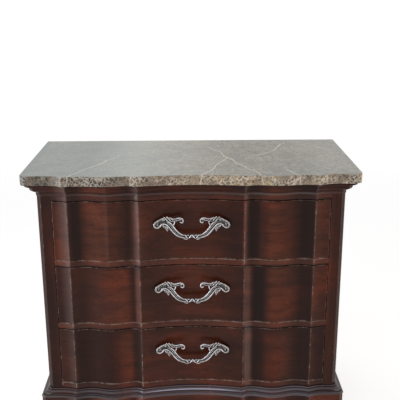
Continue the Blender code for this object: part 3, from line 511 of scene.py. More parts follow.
def soften_arrises(piece, width):
    """Round the upright arrises of the slab's front further than its other edges."""
    only(piece)
    with editing("DESELECT"):
        bm = bmesh.from_edit_mesh(piece.data)
        for edge in bm.edges:
            start, end = (corner.co for corner in edge.verts)
            upright = abs(start.x - end.x) < 0.1 * MM and abs(start.z - end.z) > 5 * MM
            if upright and edge.calc_face_angle(0.0) > math.radians(25) and start.y < 0:
                edge.select = True
        bmesh.update_edit_mesh(piece.data)
        bpy.ops.mesh.bevel(offset=width, segments=4, affect="EDGES")


def dress(piece, body, materials, nodes=(), angle=35, level=True):
    """Give a finished piece its shading, materials and place on the frame."""
    for place, material in enumerate(materials):
        if place < len(piece.data.materials):
            piece.data.materials[place] = material
        else:
            piece.data.materials.append(material)
    only(piece)
    bpy.ops.object.shade_smooth_by_angle(angle=math.radians(angle))
    if level:
        apply_modifier(piece, "WEIGHTED_NORMAL", "Level", keep_sharp=True, weight=50)
    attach(piece, body)
    if nodes:
        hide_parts(*nodes)


def shaped_board(name, node, line, drops=()):
    """A board of a node's height and depth, with the front shaped to a line.

    The drops are how far below its top the board has extra lines for the glaze to follow.
    """
    low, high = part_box(node)
    places = columns(line, high.x)
    front = front_row(places, line)
    back = [(x, high.y) for x in places]
    heights = [high.z, *(high.z - drop for drop in drops), low.z]
    return drawn_strip(name, [(height, front, back) for height in heights])


def quarter(start, end, steps, level_first):
    """Points of a quarter ellipse between two (drop, projection) pairs."""
    points = []
    for step in range(1, steps + 1):
        turn = math.pi / 2 * step / steps
        early, late = math.sin(turn), 1 - math.cos(turn)
        down, out = (late, early) if level_first else (early, late)
        drop = start[0] + (end[0] - start[0]) * down
        points.append((drop, start[1] + (end[1] - start[1]) * out))
    return points


def cornice_section():
    """The cornice: a fillet, a hollow, a round, a small cove and a lip, in millimetres."""
    section = [(0.3, 29.0), (8.5, 28.5)]
    section += quarter((8.5, 28.5), (14.0, 17.5), 8, level_first=True)
    section += quarter((14.0, 17.5), (27.0, 9.0), 8, level_first=False)
    section.append((27.0, 6.5))
    section += quarter((27.0, 6.5), (36.0, 1.5), 6, level_first=True)
    section.append((41.7, 1.5))
    return section


def base_section():
    """The base: a bead, a step, a cove, a fillet, a round and a foot, in millimetres."""
    section = [(0.3, 2.5)]
    section += quarter((0.3, 2.5), (2.5, 4.5), 4, level_first=True)
    section += quarter((2.5, 4.5), (5.0, 2.5), 4, level_first=False)
    section += [(5.0, 6.0), (7.0, 6.0)]
    section += quarter((7.0, 6.0), (13.5, 15.0), 7, level_first=False)
    section += [(13.5, 18.0), (14.7, 18.0), (17.0, 18.0), (17.0, 20.0)]
    section += quarter((17.0, 20.0), (21.0, 23.6), 4, level_first=True)
    section.append((23.7, 23.6))
    return section


def mitred_front(projection, depth):
    """Outer and inner rows of a front member that ends in mitres on canted corners."""
    outer_x = CASE_HALF + projection
    inner_x = CASE_HALF + CANT - depth
    outer = canted_row(CASE_LINE, outer_x, projection, projection)
    inner = [(x * inner_x / outer_x, STILE_FACE + depth) for x, _ in outer]
    return outer, inner


def mitred_side(projection, depth, side):
    """Outer and inner rows of a side member, from its mitre to the back."""
    outer_x = CASE_HALF + projection
    inner_x = CASE_HALF + CANT - depth
    gap = MITRE_GAP * math.sqrt(2)
    outer = [(outer_x, STILE_FACE + CANT - projection + gap), (outer_x, CASE_REAR)]
    inner = [(inner_x, STILE_FACE + depth + gap), (inner_x, CASE_REAR)]
    return [(side * x, y) for x, y in outer], [(side * x, y) for x, y in inner]


def run_moulding(name, section, wood, **glaze_and_light_marks):
    """A moulding round the front and sides, in three mitred members.

    The section has (drop, projection) pairs in millimetres. The wood is what mahogany_pair
    takes after the grain.
    """
    ease_width = bpy.context.scene.chest_sizes.moulding_ease
    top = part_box(f"{name}_front")[1].z + section[0][0] * MM
    for side, word in ((0, "front"), *HALVES):
        layers = []
        for drop, out in section:
            rows = (
                mitred_side(out * MM, FRAME_DEPTH, side) if side
                else mitred_front(out * MM, FRAME_DEPTH)
            )
            layers.append((top - drop * MM, *rows))
        member = drawn_strip(f"{name}_{word}_run", layers)
        ease(member, ease_width, segments=2, angle=40)
        glaze_and_shade(member, **glaze_and_light_marks)
        finish = mahogany_pair("Y" if side else "X", *wood)
        dress(member, "case", finish, [f"{name}_{word}"], angle=30)


# Finishes. Every pattern reads Object coordinates, so its scales are in real sizes.

def fill(node, inputs):
    """Fill inputs of a node. A socket is linked, and so is a node's first output in use."""
    for key, value in inputs.items():
        if isinstance(value, bpy.types.Node):
            value = next(output for output in value.outputs if output.enabled)
        if isinstance(value, bpy.types.NodeSocket):
            node.id_data.links.new(value, node.inputs[key])
        else:
            coloured = node.inputs[key].type == "RGBA"
            node.inputs[key].default_value = (*value, 1.0) if coloured else value


def add_node(tree, kind, inputs=None, stops=None, **settings):
    """Add a shader node with its settings, its values and links, and its colour stops."""
    node = tree.nodes.new(f"ShaderNode{kind}")
    for key, value in settings.items():
        setattr(node, key, value)
    fill(node, inputs or {})
    if stops:
        elements = node.color_ramp.elements
        while len(elements) < len(stops):
            elements.new(1.0)
        for element, (place, colour) in zip(elements, stops):
            element.position = place
            element.color = (*colour, 1.0)
    return node


def bare_tree(owner):
    """Empty the node tree of a material or a sky, and return what adds nodes to it."""
    owner.use_nodes = True
    owner.node_tree.nodes.clear()
    return partial(add_node, owner.node_tree)


def new_finish(name):
    """A material, what adds nodes to it, its shader, and where each point of a piece is."""
    material = bpy.data.materials.new(name)
    add = bare_tree(material)
    shader = add("BsdfPrincipled")
    add("OutputMaterial", {"Surface": shader})
    return material, add, shader, add("TexCoord").outputs["Object"]


GRAIN_TURNS = {
    "X": (0.0, 0.0, 0.0),
    "Y": (0.0, 0.0, math.pi / 2),
    "Z": (0.0, math.pi / 2, 0.0),
}
# The colour inputs of a mix node, and how it multiplies the one by the other.
UNDER, OVER = 6, 7
TINT = {"data_type": "RGBA", "blend_type": "MULTIPLY"}
BLACK = (0.0, 0.0, 0.0)
WHITE = (1.0, 1.0, 1.0)


def grey(share):
    """A grey for a ramp that only sets a share."""
    return (share, share, share)


def stained_mahogany(name, grain, tone_and_light, sheen, rubbed, highlight_and_wear_colour):
    """Mahogany, stained dark and lacquered: deep red-brown under a soft, uneven gloss.

    The figure runs along the grain, with pores drawn 3 mm apart, coarser than real ones, so
    that they show. Where an edge is rubbed, the pale wood shows through in dashes. A note of
    glaze darkens the hollows with glaze and painted shade, and another note paints wear and
    painted highlights in a pale colour.
    """
    colours = bpy.context.scene.chest_colours
    material, add, shader, place = new_finish(name)
    grain_place = add("Mapping", {"Vector": place, "Rotation": GRAIN_TURNS[grain]})
    figure_place = add("Mapping", {"Vector": grain_place, "Scale": (3.0, 26.0, 26.0)})
    figure = add("TexNoise", {
        "Vector": figure_place, "Scale": 1.0, "Detail": 5.0, "Roughness": 0.6, "Distortion": 0.7,
    })
    pore_place = add("Mapping", {"Vector": grain_place, "Scale": (14.0, 340.0, 340.0)})
    pores = add("TexNoise", {"Vector": pore_place, "Scale": 1.0, "Detail": 3.0, "Roughness": 0.7})
    cloud = add("TexNoise", {"Vector": place, "Scale": 7.0, "Detail": 4.0, "Roughness": 0.55})
    # Dark glaze in the hollows together with painted shade and painted reflection.
    glaze_and_shade_share = add("Attribute", attribute_name="glaze_and_shade").outputs["Fac"]
    shades = (colours.stain_dark, colours.stain, colours.stain_red)
    base = add("ValToRGB", {"Fac": figure}, stops=[
        (stop, tuple(tone_and_light * part for part in shade))
        for stop, shade in zip((0.30, 0.50, 0.72), shades)
    ])
    pore_shade = add("ValToRGB", {"Fac": pores}, stops=[(0.36, grey(0.7)), (0.52, grey(1.0))])
    cloud_shade = add("ValToRGB", {"Fac": cloud}, stops=[
        (0.34, (0.66, 0.70, 0.72)), (0.50, (1.0, 0.96, 0.94)), (0.68, (1.5, 1.16, 0.96)),
    ])
    grained = add("Mix", {"Factor": 1.0, UNDER: base, OVER: pore_shade}, **TINT)
    colour = add("Mix", {"Factor": 1.0, UNDER: grained, OVER: cloud_shade}, **TINT)
    glazed_and_shaded = add(
        "Mix", {"Factor": glaze_and_shade_share, UNDER: colour, OVER: colours.glaze_and_shade}, data_type="RGBA",
    )
    # Worn edges together with painted highlights and painted sheen, mixed towards a pale colour.
    highlight_and_wear = add("Attribute", attribute_name="rubbing").outputs["Fac"]
    colour = add(
        "Mix", {"Factor": highlight_and_wear, UNDER: glazed_and_shaded, OVER: linear(highlight_and_wear_colour)}, data_type="RGBA",
    )
    gloss = add("MapRange", {
        "Value": cloud, "From Min": 0.3, "From Max": 0.7, "To Min": 0.16, "To Max": 0.30,
    })
    if rubbed:
        scuffs = add("TexNoise", {
            "Vector": place, "Scale": 55.0, "Detail": 6.0, "Roughness": 0.75,
        })
        bare = add("ValToRGB", {"Fac": scuffs}, stops=[
            (0.62 - 0.3 * rubbed, grey(0.05)), (0.79 - 0.3 * rubbed, grey(0.7)),
        ])
        colour = add(
            "Mix", {"Factor": bare, UNDER: colour, OVER: colours.bare_edge}, data_type="RGBA",
        )
    ripple = add("TexNoise", {"Vector": grain_place, "Scale": 22.0, "Detail": 1.0})
    rippled = add("Bump", {"Height": ripple, "Strength": 0.10, "Distance": 2 * MM})
    bumped = add("Bump", {
        "Height": pores, "Normal": rippled, "Strength": 0.08, "Distance": 0.3 * MM,
    })
    fill(shader, {
        "Base Color": colour, "Roughness": gloss, "Normal": bumped, "Specular IOR Level": sheen,
    })
    return material


def pale_board(name, grain, colour, dark, rings=9.0):
    """Poplar or birch plywood, planed and unfinished: pale, dry, with soft brown lines."""
    material, add, shader, place = new_finish(name)
    grain_place = add("Mapping", {"Vector": place, "Rotation": GRAIN_TURNS[grain]})
    ring_place = add("Mapping", {"Vector": grain_place, "Scale": (1.5, rings, rings)})
    rings_noise = add("TexNoise", {
        "Vector": ring_place, "Scale": 1.6, "Detail": 7.0, "Roughness": 0.6, "Distortion": 1.6,
    })
    fibre_place = add("Mapping", {"Vector": grain_place, "Scale": (18.0, 420.0, 420.0)})
    fibres = add("TexNoise", {"Vector": fibre_place, "Scale": 1.0, "Detail": 2.0})
    base = add("ValToRGB", {"Fac": rings_noise}, stops=[
        (0.36, linear(dark)), (0.6, linear(colour)),
    ])
    fibre_shade = add("ValToRGB", {"Fac": fibres}, stops=[(0.35, grey(0.78)), (0.6, grey(1.0))])
    fibred = add("Mix", {"Factor": 1.0, UNDER: base, OVER: fibre_shade}, **TINT)
    bumped = add("Bump", {"Height": fibres, "Strength": 0.25, "Distance": 0.3 * MM})
    fill(shader, {
        "Base Color": fibred, "Roughness": 0.62, "Normal": bumped, "Specular IOR Level": 0.3,
    })
    return material


def long_vein(add, place, wander, start, end):
    """How much of a long vein shows: a thin line from start to end that wanders a little."""
    run = Vector(end) * MM - Vector(start) * MM
    angle = math.atan2(run.y, run.x)
    turn = Matrix.Rotation(-angle, 2)
    shift = -(turn @ (Vector(start) * MM))
    laid = add("Mapping", {
        "Vector": place, "Location": (*shift, 0.0), "Rotation": (0.0, 0.0, -angle),
    })
    parts = add("SeparateXYZ", {"Vector": laid})
    aside = add("Math", {0: wander, 1: 60 * MM, 2: parts.outputs["Y"]}, operation="MULTIPLY_ADD")
    offset = add("Math", {0: aside, 1: -30 * MM}, operation="ADD")
    distance = add("Math", {0: offset}, operation="ABSOLUTE")
    line = add("MapRange", {
        "Value": distance, "From Min": 0.4 * MM, "From Max": 2.4 * MM, "To Min": 1.0,
        "To Max": 0.0,
    })
    middle = add("Math", {0: parts.outputs["X"], 1: -run.length / 2}, operation="ADD")
    from_middle = add("Math", {0: middle}, operation="ABSOLUTE")
    ends = add("MapRange", {
        "Value": from_middle, "From Min": run.length * 0.42, "From Max": run.length * 0.54,
        "To Min": 1.0, "To Max": 0.0,
    })
    return add("Math", {0: line, 1: ends}, operation="MULTIPLY")


def polished_marble(name):
    """Brown marble, cut and polished: clouded browns under a net of cream veins.

    The small veins are about 11 mm apart, drawn 3 mm wide so that they show, and a few long
    ones cross the slab. The top has a polish that mirrors what is round it at a low angle,
    and a grey-green painted reflection in its colour fades the net; the edges are only honed.
    The stone changes from one end of its bed to the other, and its far left end is darkened
    as painted shade.
    """
    colours = bpy.context.scene.chest_colours
    material, add, shader, place = new_finish(name)
    drift = add("TexNoise", {
        "Vector": place, "Scale": 42.0, "Detail": 6.0, "Roughness": 0.65,
    }).outputs["Color"]
    drifted = add(
        "VectorMath", {0: drift, 1: (0.035, 0.035, 0.035), 2: place}, operation="MULTIPLY_ADD",
    )
    cloud = add("TexNoise", {"Vector": drifted, "Scale": 45.0, "Detail": 8.0, "Roughness": 0.7})
    base = add("ValToRGB", {"Fac": cloud}, stops=[
        (0.38, linear("#40322a")), (0.48, colours.marble), (0.56, linear("#8e7c6b")),
        (0.66, linear("#c6b49c")),
    ])
    drift_wide = add("TexNoise", {"Vector": place, "Scale": 6.0, "Detail": 4.0})
    drift_colour = add("ValToRGB", {"Fac": drift_wide}, stops=[
        (0.38, (0.86, 0.82, 0.86)), (0.50, (0.95, 0.95, 0.92)), (0.60, (1.15, 1.1, 1.0)),
    ])
    drifting = add("Mix", {"Factor": 1.0, UNDER: base, OVER: drift_colour}, **TINT)
    across = add("SeparateXYZ", {"Vector": place}).outputs["X"]
    bed = add("MapRange", {"Value": across, "From Min": -0.51, "From Max": 0.51})
    # The stone's colour along its bed; the dark first stop is painted shade on the far left end.
    bed_and_shade_colour = add("ValToRGB", {"Fac": bed}, stops=[
        (0.012, (0.20, 0.19, 0.21)), (0.03, (0.58, 0.53, 0.49)), (0.20, (0.57, 0.51, 0.46)),
        (0.36, (1.14, 1.06, 0.98)), (0.52, (1.54, 1.46, 1.28)), (0.68, (1.50, 1.44, 1.26)),
        (0.82, (1.50, 1.46, 1.36)), (0.98, (1.06, 1.02, 0.92)),
    ])
    toned = add("Mix", {"Factor": 1.0, UNDER: drifting, OVER: bed_and_shade_colour}, **TINT)
    facing = add("NewGeometry").outputs["Normal"]
    facing_parts = add("SeparateXYZ", {"Vector": facing})
    upward = facing_parts.outputs["Z"]
    wax_most = add("ValToRGB", {"Fac": bed}, stops=[
        (0.34, grey(0.3)), (0.62, grey(0.06)), (0.82, grey(0.06)), (0.94, grey(0.2)),
    ])
    # How much painted reflection covers the top, how much of the net shows through it, the polish
    # and the wax.
    reflection_share, net_most, polish, wax = (
        add("MapRange", {
            "Value": upward, "From Min": 0.3, "From Max": 0.9, "To Min": edge, "To Max": top,
        })
        for edge, top in ((0.0, 0.64), (1.0, 0.28), (0.55, 0.38), (0.04, wax_most))
    )
    # The grey-green painted reflection on the polished top, lighter on the left and darker on the
    # right.
    top_reflection_colour = add("ValToRGB", {"Fac": bed}, stops=[
        (0.18, linear("#808a86")), (0.32, linear("#adb6b0")), (0.48, linear("#919590")),
        (0.62, linear("#505552")), (0.82, linear("#4e5350")), (0.94, linear("#7e7f77")),
    ])
    reflected_top = add("Mix", {"Factor": reflection_share, UNDER: toned, OVER: top_reflection_colour}, data_type="RGBA")
    net = add("TexVoronoi", {"Vector": drifted, "Scale": 88.0}, feature="DISTANCE_TO_EDGE")
    net_line = add("ValToRGB", {"Fac": net}, stops=[
        (0.0, grey(1.0)), (0.07, grey(0.75)), (0.13, BLACK),
    ])
    patches = add("TexNoise", {"Vector": place, "Scale": 19.0, "Detail": 3.0})
    net_where = add("ValToRGB", {"Fac": patches}, stops=[(0.40, grey(0.3)), (0.54, WHITE)])
    net_there = add("Mix", {"Factor": 1.0, UNDER: net_line, OVER: net_where}, **TINT)
    net_share = add("Math", {0: net_there, 1: net_most}, operation="MULTIPLY")
    web_tone = add("Gamma", {"Color": bed_and_shade_colour, "Gamma": 0.4})
    web_colour = add("Mix", {"Factor": 1.0, UNDER: colours.marble_vein, OVER: web_tone}, **TINT)
    webbed = add("Mix", {"Factor": net_share, UNDER: reflected_top, OVER: web_colour}, data_type="RGBA")
    wander = add("TexNoise", {"Vector": place, "Scale": 7.0, "Detail": 4.0, "Roughness": 0.55})
    veins = 0.0
    for start, end in LONG_VEINS:
        vein = long_vein(add, place, wander, start, end)
        veins = add("Math", {0: veins, 1: vein}, operation="MAXIMUM")
    veined = add(
        "Mix", {"Factor": veins, UNDER: webbed, OVER: colours.marble_vein}, data_type="RGBA",
    )
    sideways = add("Math", {0: facing_parts.outputs["X"]}, operation="ABSOLUTE")
    sawn = add("MapRange", {
        "Value": sideways, "From Min": 0.5, "From Max": 0.95, "To Min": 0.0, "To Max": 0.9,
    })
    rough = add("Math", {0: polish, 1: sawn}, operation="MAXIMUM")
    fill(shader, {
        "Base Color": veined, "Roughness": rough, "Specular Tint": (0.76, 1.0, 0.97),
        "Coat Weight": wax, "Coat Roughness": 0.38,
    })
    return material


def rubbed_silver(name):
    """Cast and silvered brass, darkened and rubbed back: bright rims over grey hollows, with
    painted shade on the sides that turn away from the front.
    """
    colours = bpy.context.scene.chest_colours
    material, add, shader, place = new_finish(name)
    proud = add("Attribute", attribute_name="proud").outputs["Fac"]
    tarnish = add("TexNoise", {"Vector": place, "Scale": 260.0, "Detail": 4.0})
    worn = add("Math", {0: tarnish, 1: 0.5, 2: proud}, operation="MULTIPLY_ADD")
    colour = add("ValToRGB", {"Fac": worn}, stops=[
        (0.45, linear("#0d0d0e")), (0.64, linear("#323232")), (0.82, linear("#9b9794")),
        (1.0, colours.silver),
    ])
    rough = add("MapRange", {
        "Value": worn, "From Min": 0.5, "From Max": 1.1, "To Min": 0.6, "To Max": 0.26,
    })
    bumped = add("Bump", {"Height": tarnish, "Strength": 0.15, "Distance": 0.4 * MM})
    fill(shader, {"Base Color": colour, "Metallic": 1.0, "Roughness": rough, "Normal": bumped})
    return material


def zinc_plated_steel(name):
    """Machined steel under bright zinc: cool grey with a slightly cloudy shine."""
    material, add, shader, place = new_finish(name)
    cloud = add("TexNoise", {"Vector": place, "Scale": 400.0, "Detail": 3.0})
    colour = add("ValToRGB", {"Fac": cloud}, stops=[
        (0.35, linear("#9a9c9b")), (0.65, linear("#c3c5c4")),
    ])
    bumped = add("Bump", {"Height": cloud, "Strength": 0.1, "Distance": 0.1 * MM})
    fill(shader, {"Base Color": colour, "Metallic": 1.0, "Roughness": 0.34, "Normal": bumped})
    return material


def finish_named(name, make, *details):
    """A finish by its name, made the first time it is asked for."""
    return bpy.data.materials.get(name) or make(name, *details)


def mahogany_pair(grain, part="case", tone_and_light=1.0, sheen=0.15, rubbed=0.5, highlight_and_wear="#b5a7a3"):
    """Mahogany with its grain along an axis, and the same where its edges are rubbed."""
    return [
        finish_named(
            f"{kind}_mahogany_{part}_{grain}", stained_mahogany, grain, tone_and_light, sheen, share, highlight_and_wear
        )
        for kind, share in (("stained", 0.0), ("rubbed", rubbed))
    ]


# The pieces.

class CHEST_OT_lay_slab(bpy.types.Operator):
    """Shape and polish the marble slab"""

    bl_idname = "chest.lay_slab"
    bl_label = "Lay marble slab"

    def execute(self, context):
        low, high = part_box("marble_top")
        front = canted_row(SLAB_LINE, high.x, SLAB_LINE.end)
        back = [(x, high.y) for x, _ in front]
        slab = drawn_strip("marble_slab", [(high.z, front, back), (low.z, front, back)])
        soften_arrises(slab, SLAB_ARRIS)
        ease(slab, context.scene.chest_sizes.slab_ease, segments=4, marked=False)
        marble = finish_named("polished_brown_marble", polished_marble)
        dress(slab, "case", [marble], ["marble_top"])
        return {"FINISHED"}


class CHEST_OT_run_cornice(bpy.types.Operator):
    """Run the cornice under the slab, mitred at the canted corners"""

    bl_idname = "chest.run_cornice"
    bl_label = "Run cornice"

    def execute(self, context):
        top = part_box("cornice_front")[1].z
        # The cornice's low tone and the dark line at its top are painted shade under the slab, the
        # dark line 32 mm down is painted shade under the round, and the lip line is a painted
        # highlight.
        run_moulding(
            "cornice", cornice_section(), ("cornice", 0.72, 0.14, 0.6),
            drawer=1, strength=0.85,
            quirks=((top, SHADE_REACH, 0.9, 0.95), (top - 32 * MM, 4 * MM, 0.9, 0.95)),
            lines=((top - 42 * MM, top - 35.5 * MM, MM, CORNICE_LIP_HIGHLIGHT),),
        )
        return {"FINISHED"}


class CHEST_OT_run_base(bpy.types.Operator):
    """Run the base moulding over the bracket base"""

    bl_idname = "chest.run_base"
    bl_label = "Run base moulding"

    def execute(self, context):
        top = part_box("base_moulding_front")[1].z
        # The pale blue-white is a painted reflection: the sheen and the lines on the base are
        # painted highlights in it, and the dark lines are painted shade in the creases of the
        # moulding.
        run_moulding(
            "base_moulding", base_section(), ("base", 0.6, 0.45, 0.5, "#d9def2"),
            drawer=3, strength=0.85, rubbing=BASE_PAINTED_SHEEN,
            quirks=(
                (top - 6 * MM, 2.2 * MM, 0.95, 0.95), (top - 15 * MM, 2.2 * MM, 0.95, 0.95),
                (top - 20 * MM, 2 * MM, 0.85, 0.85),
            ),
            lines=(
                (top - 2.4 * MM, top - 0.8 * MM, 2 * MM, BASE_HIGHLIGHT_LINES),
                (top - 12.2 * MM, top - 10.4 * MM, 6 * MM, BASE_COVE_HIGHLIGHT),
                (top - 17.3 * MM, top - 16.2 * MM, 19.2 * MM, BASE_HIGHLIGHT_LINES),
                (top - 23.8 * MM, top - 22.8 * MM, 20 * MM, BASE_HIGHLIGHT_LINES),
            ),
        )
        return {"FINISHED"}


class CHEST_OT_fit_rails(bpy.types.Operator):
    """Shape the rails over and between the drawers"""

    bl_idname = "chest.fit_rails"
    bl_label = "Fit rails"

    def execute(self, context):
        width = context.scene.chest_sizes.board_ease
        # Each rail's tone, which on the rails between drawers is lighter than the fronts as
        # painted light from above, the drawer whose glaze and painted shade run on over it, and
        # how strongly.
        rails = {
            "top_rail": (0.95, 1, 0.8), "rail_1": (1.25, 1, 0.7), "rail_2": (1.2, 3, 0.65),
            "rail_3": (1.15, 3, 0.85),
        }
        for node, (tone_and_light, drawer, strength) in rails.items():
            low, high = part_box(node)
            height = high.z - low.z
            rail = shaped_board(f"{node}_shaped", node, CASE_LINE, (height - 8 * MM,))
            ease(rail, 1.4 * width)
            # The top rail's arrises lie under the cornice, and a rail is rubbed along its top.
            for face in rail.data.polygons:
                if node == "top_rail" or face.center.z < (low.z + high.z) / 2:
                    face.material_index = 0
            # Painted shade along the rail's lower edge, at the gap to the drawer below.
            glaze_and_shade(rail, drawer, strength, quirks=((low.z, SHADE_REACH, 0.35, 0.85),))
            dress(rail, "case", mahogany_pair("X", node, tone_and_light, 0.2, 0.7), [node])
        return {"FINISHED"}


class CHEST_OT_shape_fronts(bpy.types.Operator):
    """Shape the three drawer fronts"""

    bl_idname = "chest.shape_fronts"
    bl_label = "Shape drawer fronts"

    def execute(self, context):
        width = context.scene.chest_sizes.board_ease
        # How far down each front its top is darkened by painted shade under the rail above, and
        # how dark in the hollow and outside it.
        top_shades = {
            1: (SHADE_REACH, 0.35, 0.6), 2: (SHADE_REACH, 0.35, 0.85), 3: (28 * MM, 0.8, 0.9),
        }
        for number in DRAWERS:
            node = f"drawer_{number}_front"
            reach, inside, outside = top_shades[number]
            drops = (3 * MM, reach)
            front = shaped_board(f"drawer_{number}_front_shaped", node, CASE_LINE, drops)
            ease(front, width)
            glaze_and_shade(front, number, quirks=((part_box(node)[1].z, reach, inside, outside),))
            dress(front, f"drawer_{number}", mahogany_pair("X"), [node])
        return {"FINISHED"}


class CHEST_OT_fit_case(bpy.types.Operator):
    """Make the stiles with their canted corners and the case sides"""

    bl_idname = "chest.fit_case"
    bl_label = "Fit stiles and sides"

    def execute(self, context):
        width = context.scene.chest_sizes.board_ease
        for side, word in HALVES:
            low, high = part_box(f"stile_{word}")
            across = [side * x for x in (OPENING_HALF, CASE_HALF - CANT, CASE_HALF)]
            stile = (
                list(zip(across, (low.y, low.y, low.y + CANT))), [(x, high.y) for x in across],
            )
            low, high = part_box(f"side_panel_{word}")
            panel = ([(x, low.y) for x in (low.x, high.x)], [(x, high.y) for x in (low.x, high.x)])
            for node, work, part, strength, rows in (
                (f"stile_{word}", "canted", "stile", 1.35 if side > 0 else 1.1, stile),
                (f"side_panel_{word}", "veneered", "side", 1.0, panel),
            ):
                low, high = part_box(node)
                board = drawn_strip(f"{node}_{work}", [(high.z, *rows), (low.z, *rows)])
                ease(board, width)
                glaze_and_shade(board, strength=strength)
                dress(board, "case", mahogany_pair("Z", part, rubbed=0.2), [node])
        return {"FINISHED"}


def bracket_opening(half_gap, bottom, top, steps=10):
    """The space between two bracket feet, as points across and up."""
    foot, small, step_in = 20 * MM, 22 * MM, 7 * MM
    shoulder = foot + small
    arches = (
        (half_gap, foot, small, 1), (half_gap - small - step_in, shoulder, top - shoulder, 0),
    )
    right = [(half_gap, bottom), (half_gap, foot)]
    for across, up, radius, first in arches:
        for step in range(first, steps + 1):
            turn = math.pi / 2 * step / steps
            right.append((
                across - radius * (1 - math.cos(turn)), up + radius * math.sin(turn)
            ))
    return right + [(-across, up) for across, up in reversed(right)]


def prism(name, outline, sweep):
    """A solid from a flat outline of points, drawn along a sweep."""
    bpy.ops.mesh.primitive_circle_add(vertices=len(outline), radius=1.0, fill_type="NGON")
    piece = start_piece(name)
    for corner, point in zip(piece.data.vertices, outline):
        corner.co = point
    with editing():
        bpy.ops.mesh.extrude_region_move(TRANSFORM_OT_translate={"value": sweep})
        turn_outward()
    return piece


def saw_out(piece, tool):
    """Cut a tool's space out of a piece and put the tool away."""
    apply_modifier(piece, "BOOLEAN", "Saw", object=tool, operation="DIFFERENCE")
    bpy.data.objects.remove(tool)


class CHEST_OT_saw_brackets(bpy.types.Operator):
    """Saw the bracket base out of its shaped boards"""

    bl_idname = "chest.saw_brackets"
    bl_label = "Saw bracket base"

    def execute(self, context):
        width = context.scene.chest_sizes.board_ease
        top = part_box("plinth_front")[1].z
        apron, reach = 38 * MM, 60 * MM
        front_foot, side_foot = 145 * MM, 125 * MM
        outer_x = CASE_HALF + PLINTH_PROJECTION
        front_y = STILE_FACE - PLINTH_PROJECTION
        middle = (front_y + CASE_REAR) / 2
        start = STILE_FACE - reach
        opening = bracket_opening(outer_x - front_foot, -apron, top - apron)
        boards = [(
            "front", "X", mitred_front(PLINTH_PROJECTION, PLINTH_THICKNESS),
            [(x, start, z) for x, z in opening], (0, 2 * reach, 0),
        )]
        opening = bracket_opening((CASE_REAR - front_y) / 2 - side_foot, -apron, top - apron)
        for side, word in HALVES:
            start = side * (outer_x + reach)
            boards.append((
                word, "Y", mitred_side(PLINTH_PROJECTION, PLINTH_THICKNESS, side),
                [(start, middle + y, z) for y, z in opening], (-side * 2 * reach, 0, 0),
            ))
        for word, grain, rows, outline, sweep in boards:
            board = drawn_strip(f"plinth_{word}_sawn", [(top, *rows), (0.0, *rows)])
            saw_out(board, prism("saw", outline, sweep))
            ease(board, width, segments=2)
            glaze_and_shade(board, strength=0.8)
            dress(board, "case", mahogany_pair(grain), [f"plinth_{word}"])
        return {"FINISHED"}


def cast_bar(knots):
    """A bar with round ends through (across, up, radius, lift) knots, in millimetres."""
    points = [Vector((across, -lift, up)) for across, up, _, lift in knots]
    radii = [radius for _, _, radius, _ in knots]
    for end, near in ((0, 1), (-1, -2)):
        direction = (points[end] - points[near]).normalized()
        tip, radius = points[end], radii[end]
        tips = [tip + direction * radius * 0.6, tip + direction * radius * 0.92]
        tip_radii = [radius * 0.8, radius * 0.38]
        if end:
            points, radii = points + tips, radii + tip_radii
        else:
            points, radii = tips[::-1] + points, tip_radii[::-1] + radii
    bpy.ops.curve.primitive_bezier_curve_add()
    bar = start_piece("bar")
    bar.data.bevel_depth = 1.0
    bar.data.bevel_resolution = 3
    bar.data.resolution_u = 5
    bar.data.use_fill_caps = True
    spline = bar.data.splines[0]
    spline.bezier_points.add(len(points) - 2)
    for knot, point, radius in zip(spline.bezier_points, points, radii):
        knot.co = point
        knot.radius = radius
        knot.handle_left_type = "AUTO"
        knot.handle_right_type = "AUTO"
    bpy.ops.object.convert(target="MESH")
    bar = bpy.context.object
    bpy.ops.object.transform_apply(location=True, rotation=True, scale=True)
    with editing():
        bpy.ops.mesh.remove_doubles(threshold=0.001)
        bpy.ops.mesh.normals_make_consistent(inside=False)
    return bar


def along_path(path, share):
    """The point a share of the way along a path of points."""
    place = share * (len(path) - 1)
    start = min(int(place), len(path) - 2)
    rest = place - start
    return tuple(a + (b - a) * rest for a, b in zip(path[start], path[start + 1]))


def cast_half():
    """The bars and beads of a pull's right half."""
    bars = [cast_bar(knots) for knots in CAST_BARS]
    for bead in range(BEAD_COUNT):
        across, up = along_path(BEAD_PATH, bead / (BEAD_COUNT - 1))
        bpy.ops.mesh.primitive_ico_sphere_add(
            subdivisions=2, radius=BEAD_RADIUS, location=(across, -BEAD_LIFT, up)
        )
        bars.append(start_piece("bead"))
    return bars


def cast_ribbon():
    """The two crossing ribbons round the middle of the stem."""
    bars = []
    for hand in (-1, 1):
        knots = []
        for knot in range(RIBBON_KNOTS + 1):
            share = knot / RIBBON_KNOTS
            turn = hand * 2 * math.pi * RIBBON_TURNS * share
            across = RIBBON_HALF_LENGTH * (2 * share - 1)
            up = RIBBON_MIDDLE + RIBBON_RISE * math.cos(turn)
            knots.append((across, up, RIBBON_RADIUS, RIBBON_SWING * math.sin(turn)))
        bars.append(cast_bar(knots))
    return bars


def joined(pieces, name):
    """Several pieces made one object."""
    bpy.ops.object.select_all(action="DESELECT")
    for piece in pieces:
        piece.select_set(True)
    bpy.context.view_layer.objects.active = pieces[0]
    bpy.ops.object.join()
    whole = start_piece(name)
    bpy.ops.object.transform_apply(location=True, rotation=True, scale=True)
    return whole


def forward_at(across):
    """How far the middle of the casting lies in front of the stile faces, in millimetres."""
    share = (abs(across) - SWING_START) / (SWING_END - SWING_START)
    share = min(1.0, max(0.0, share))
    swing = (1 - math.cos(math.pi * share)) / 2
    return STEM_FORWARD + (HEAD_FORWARD - STEM_FORWARD) * swing


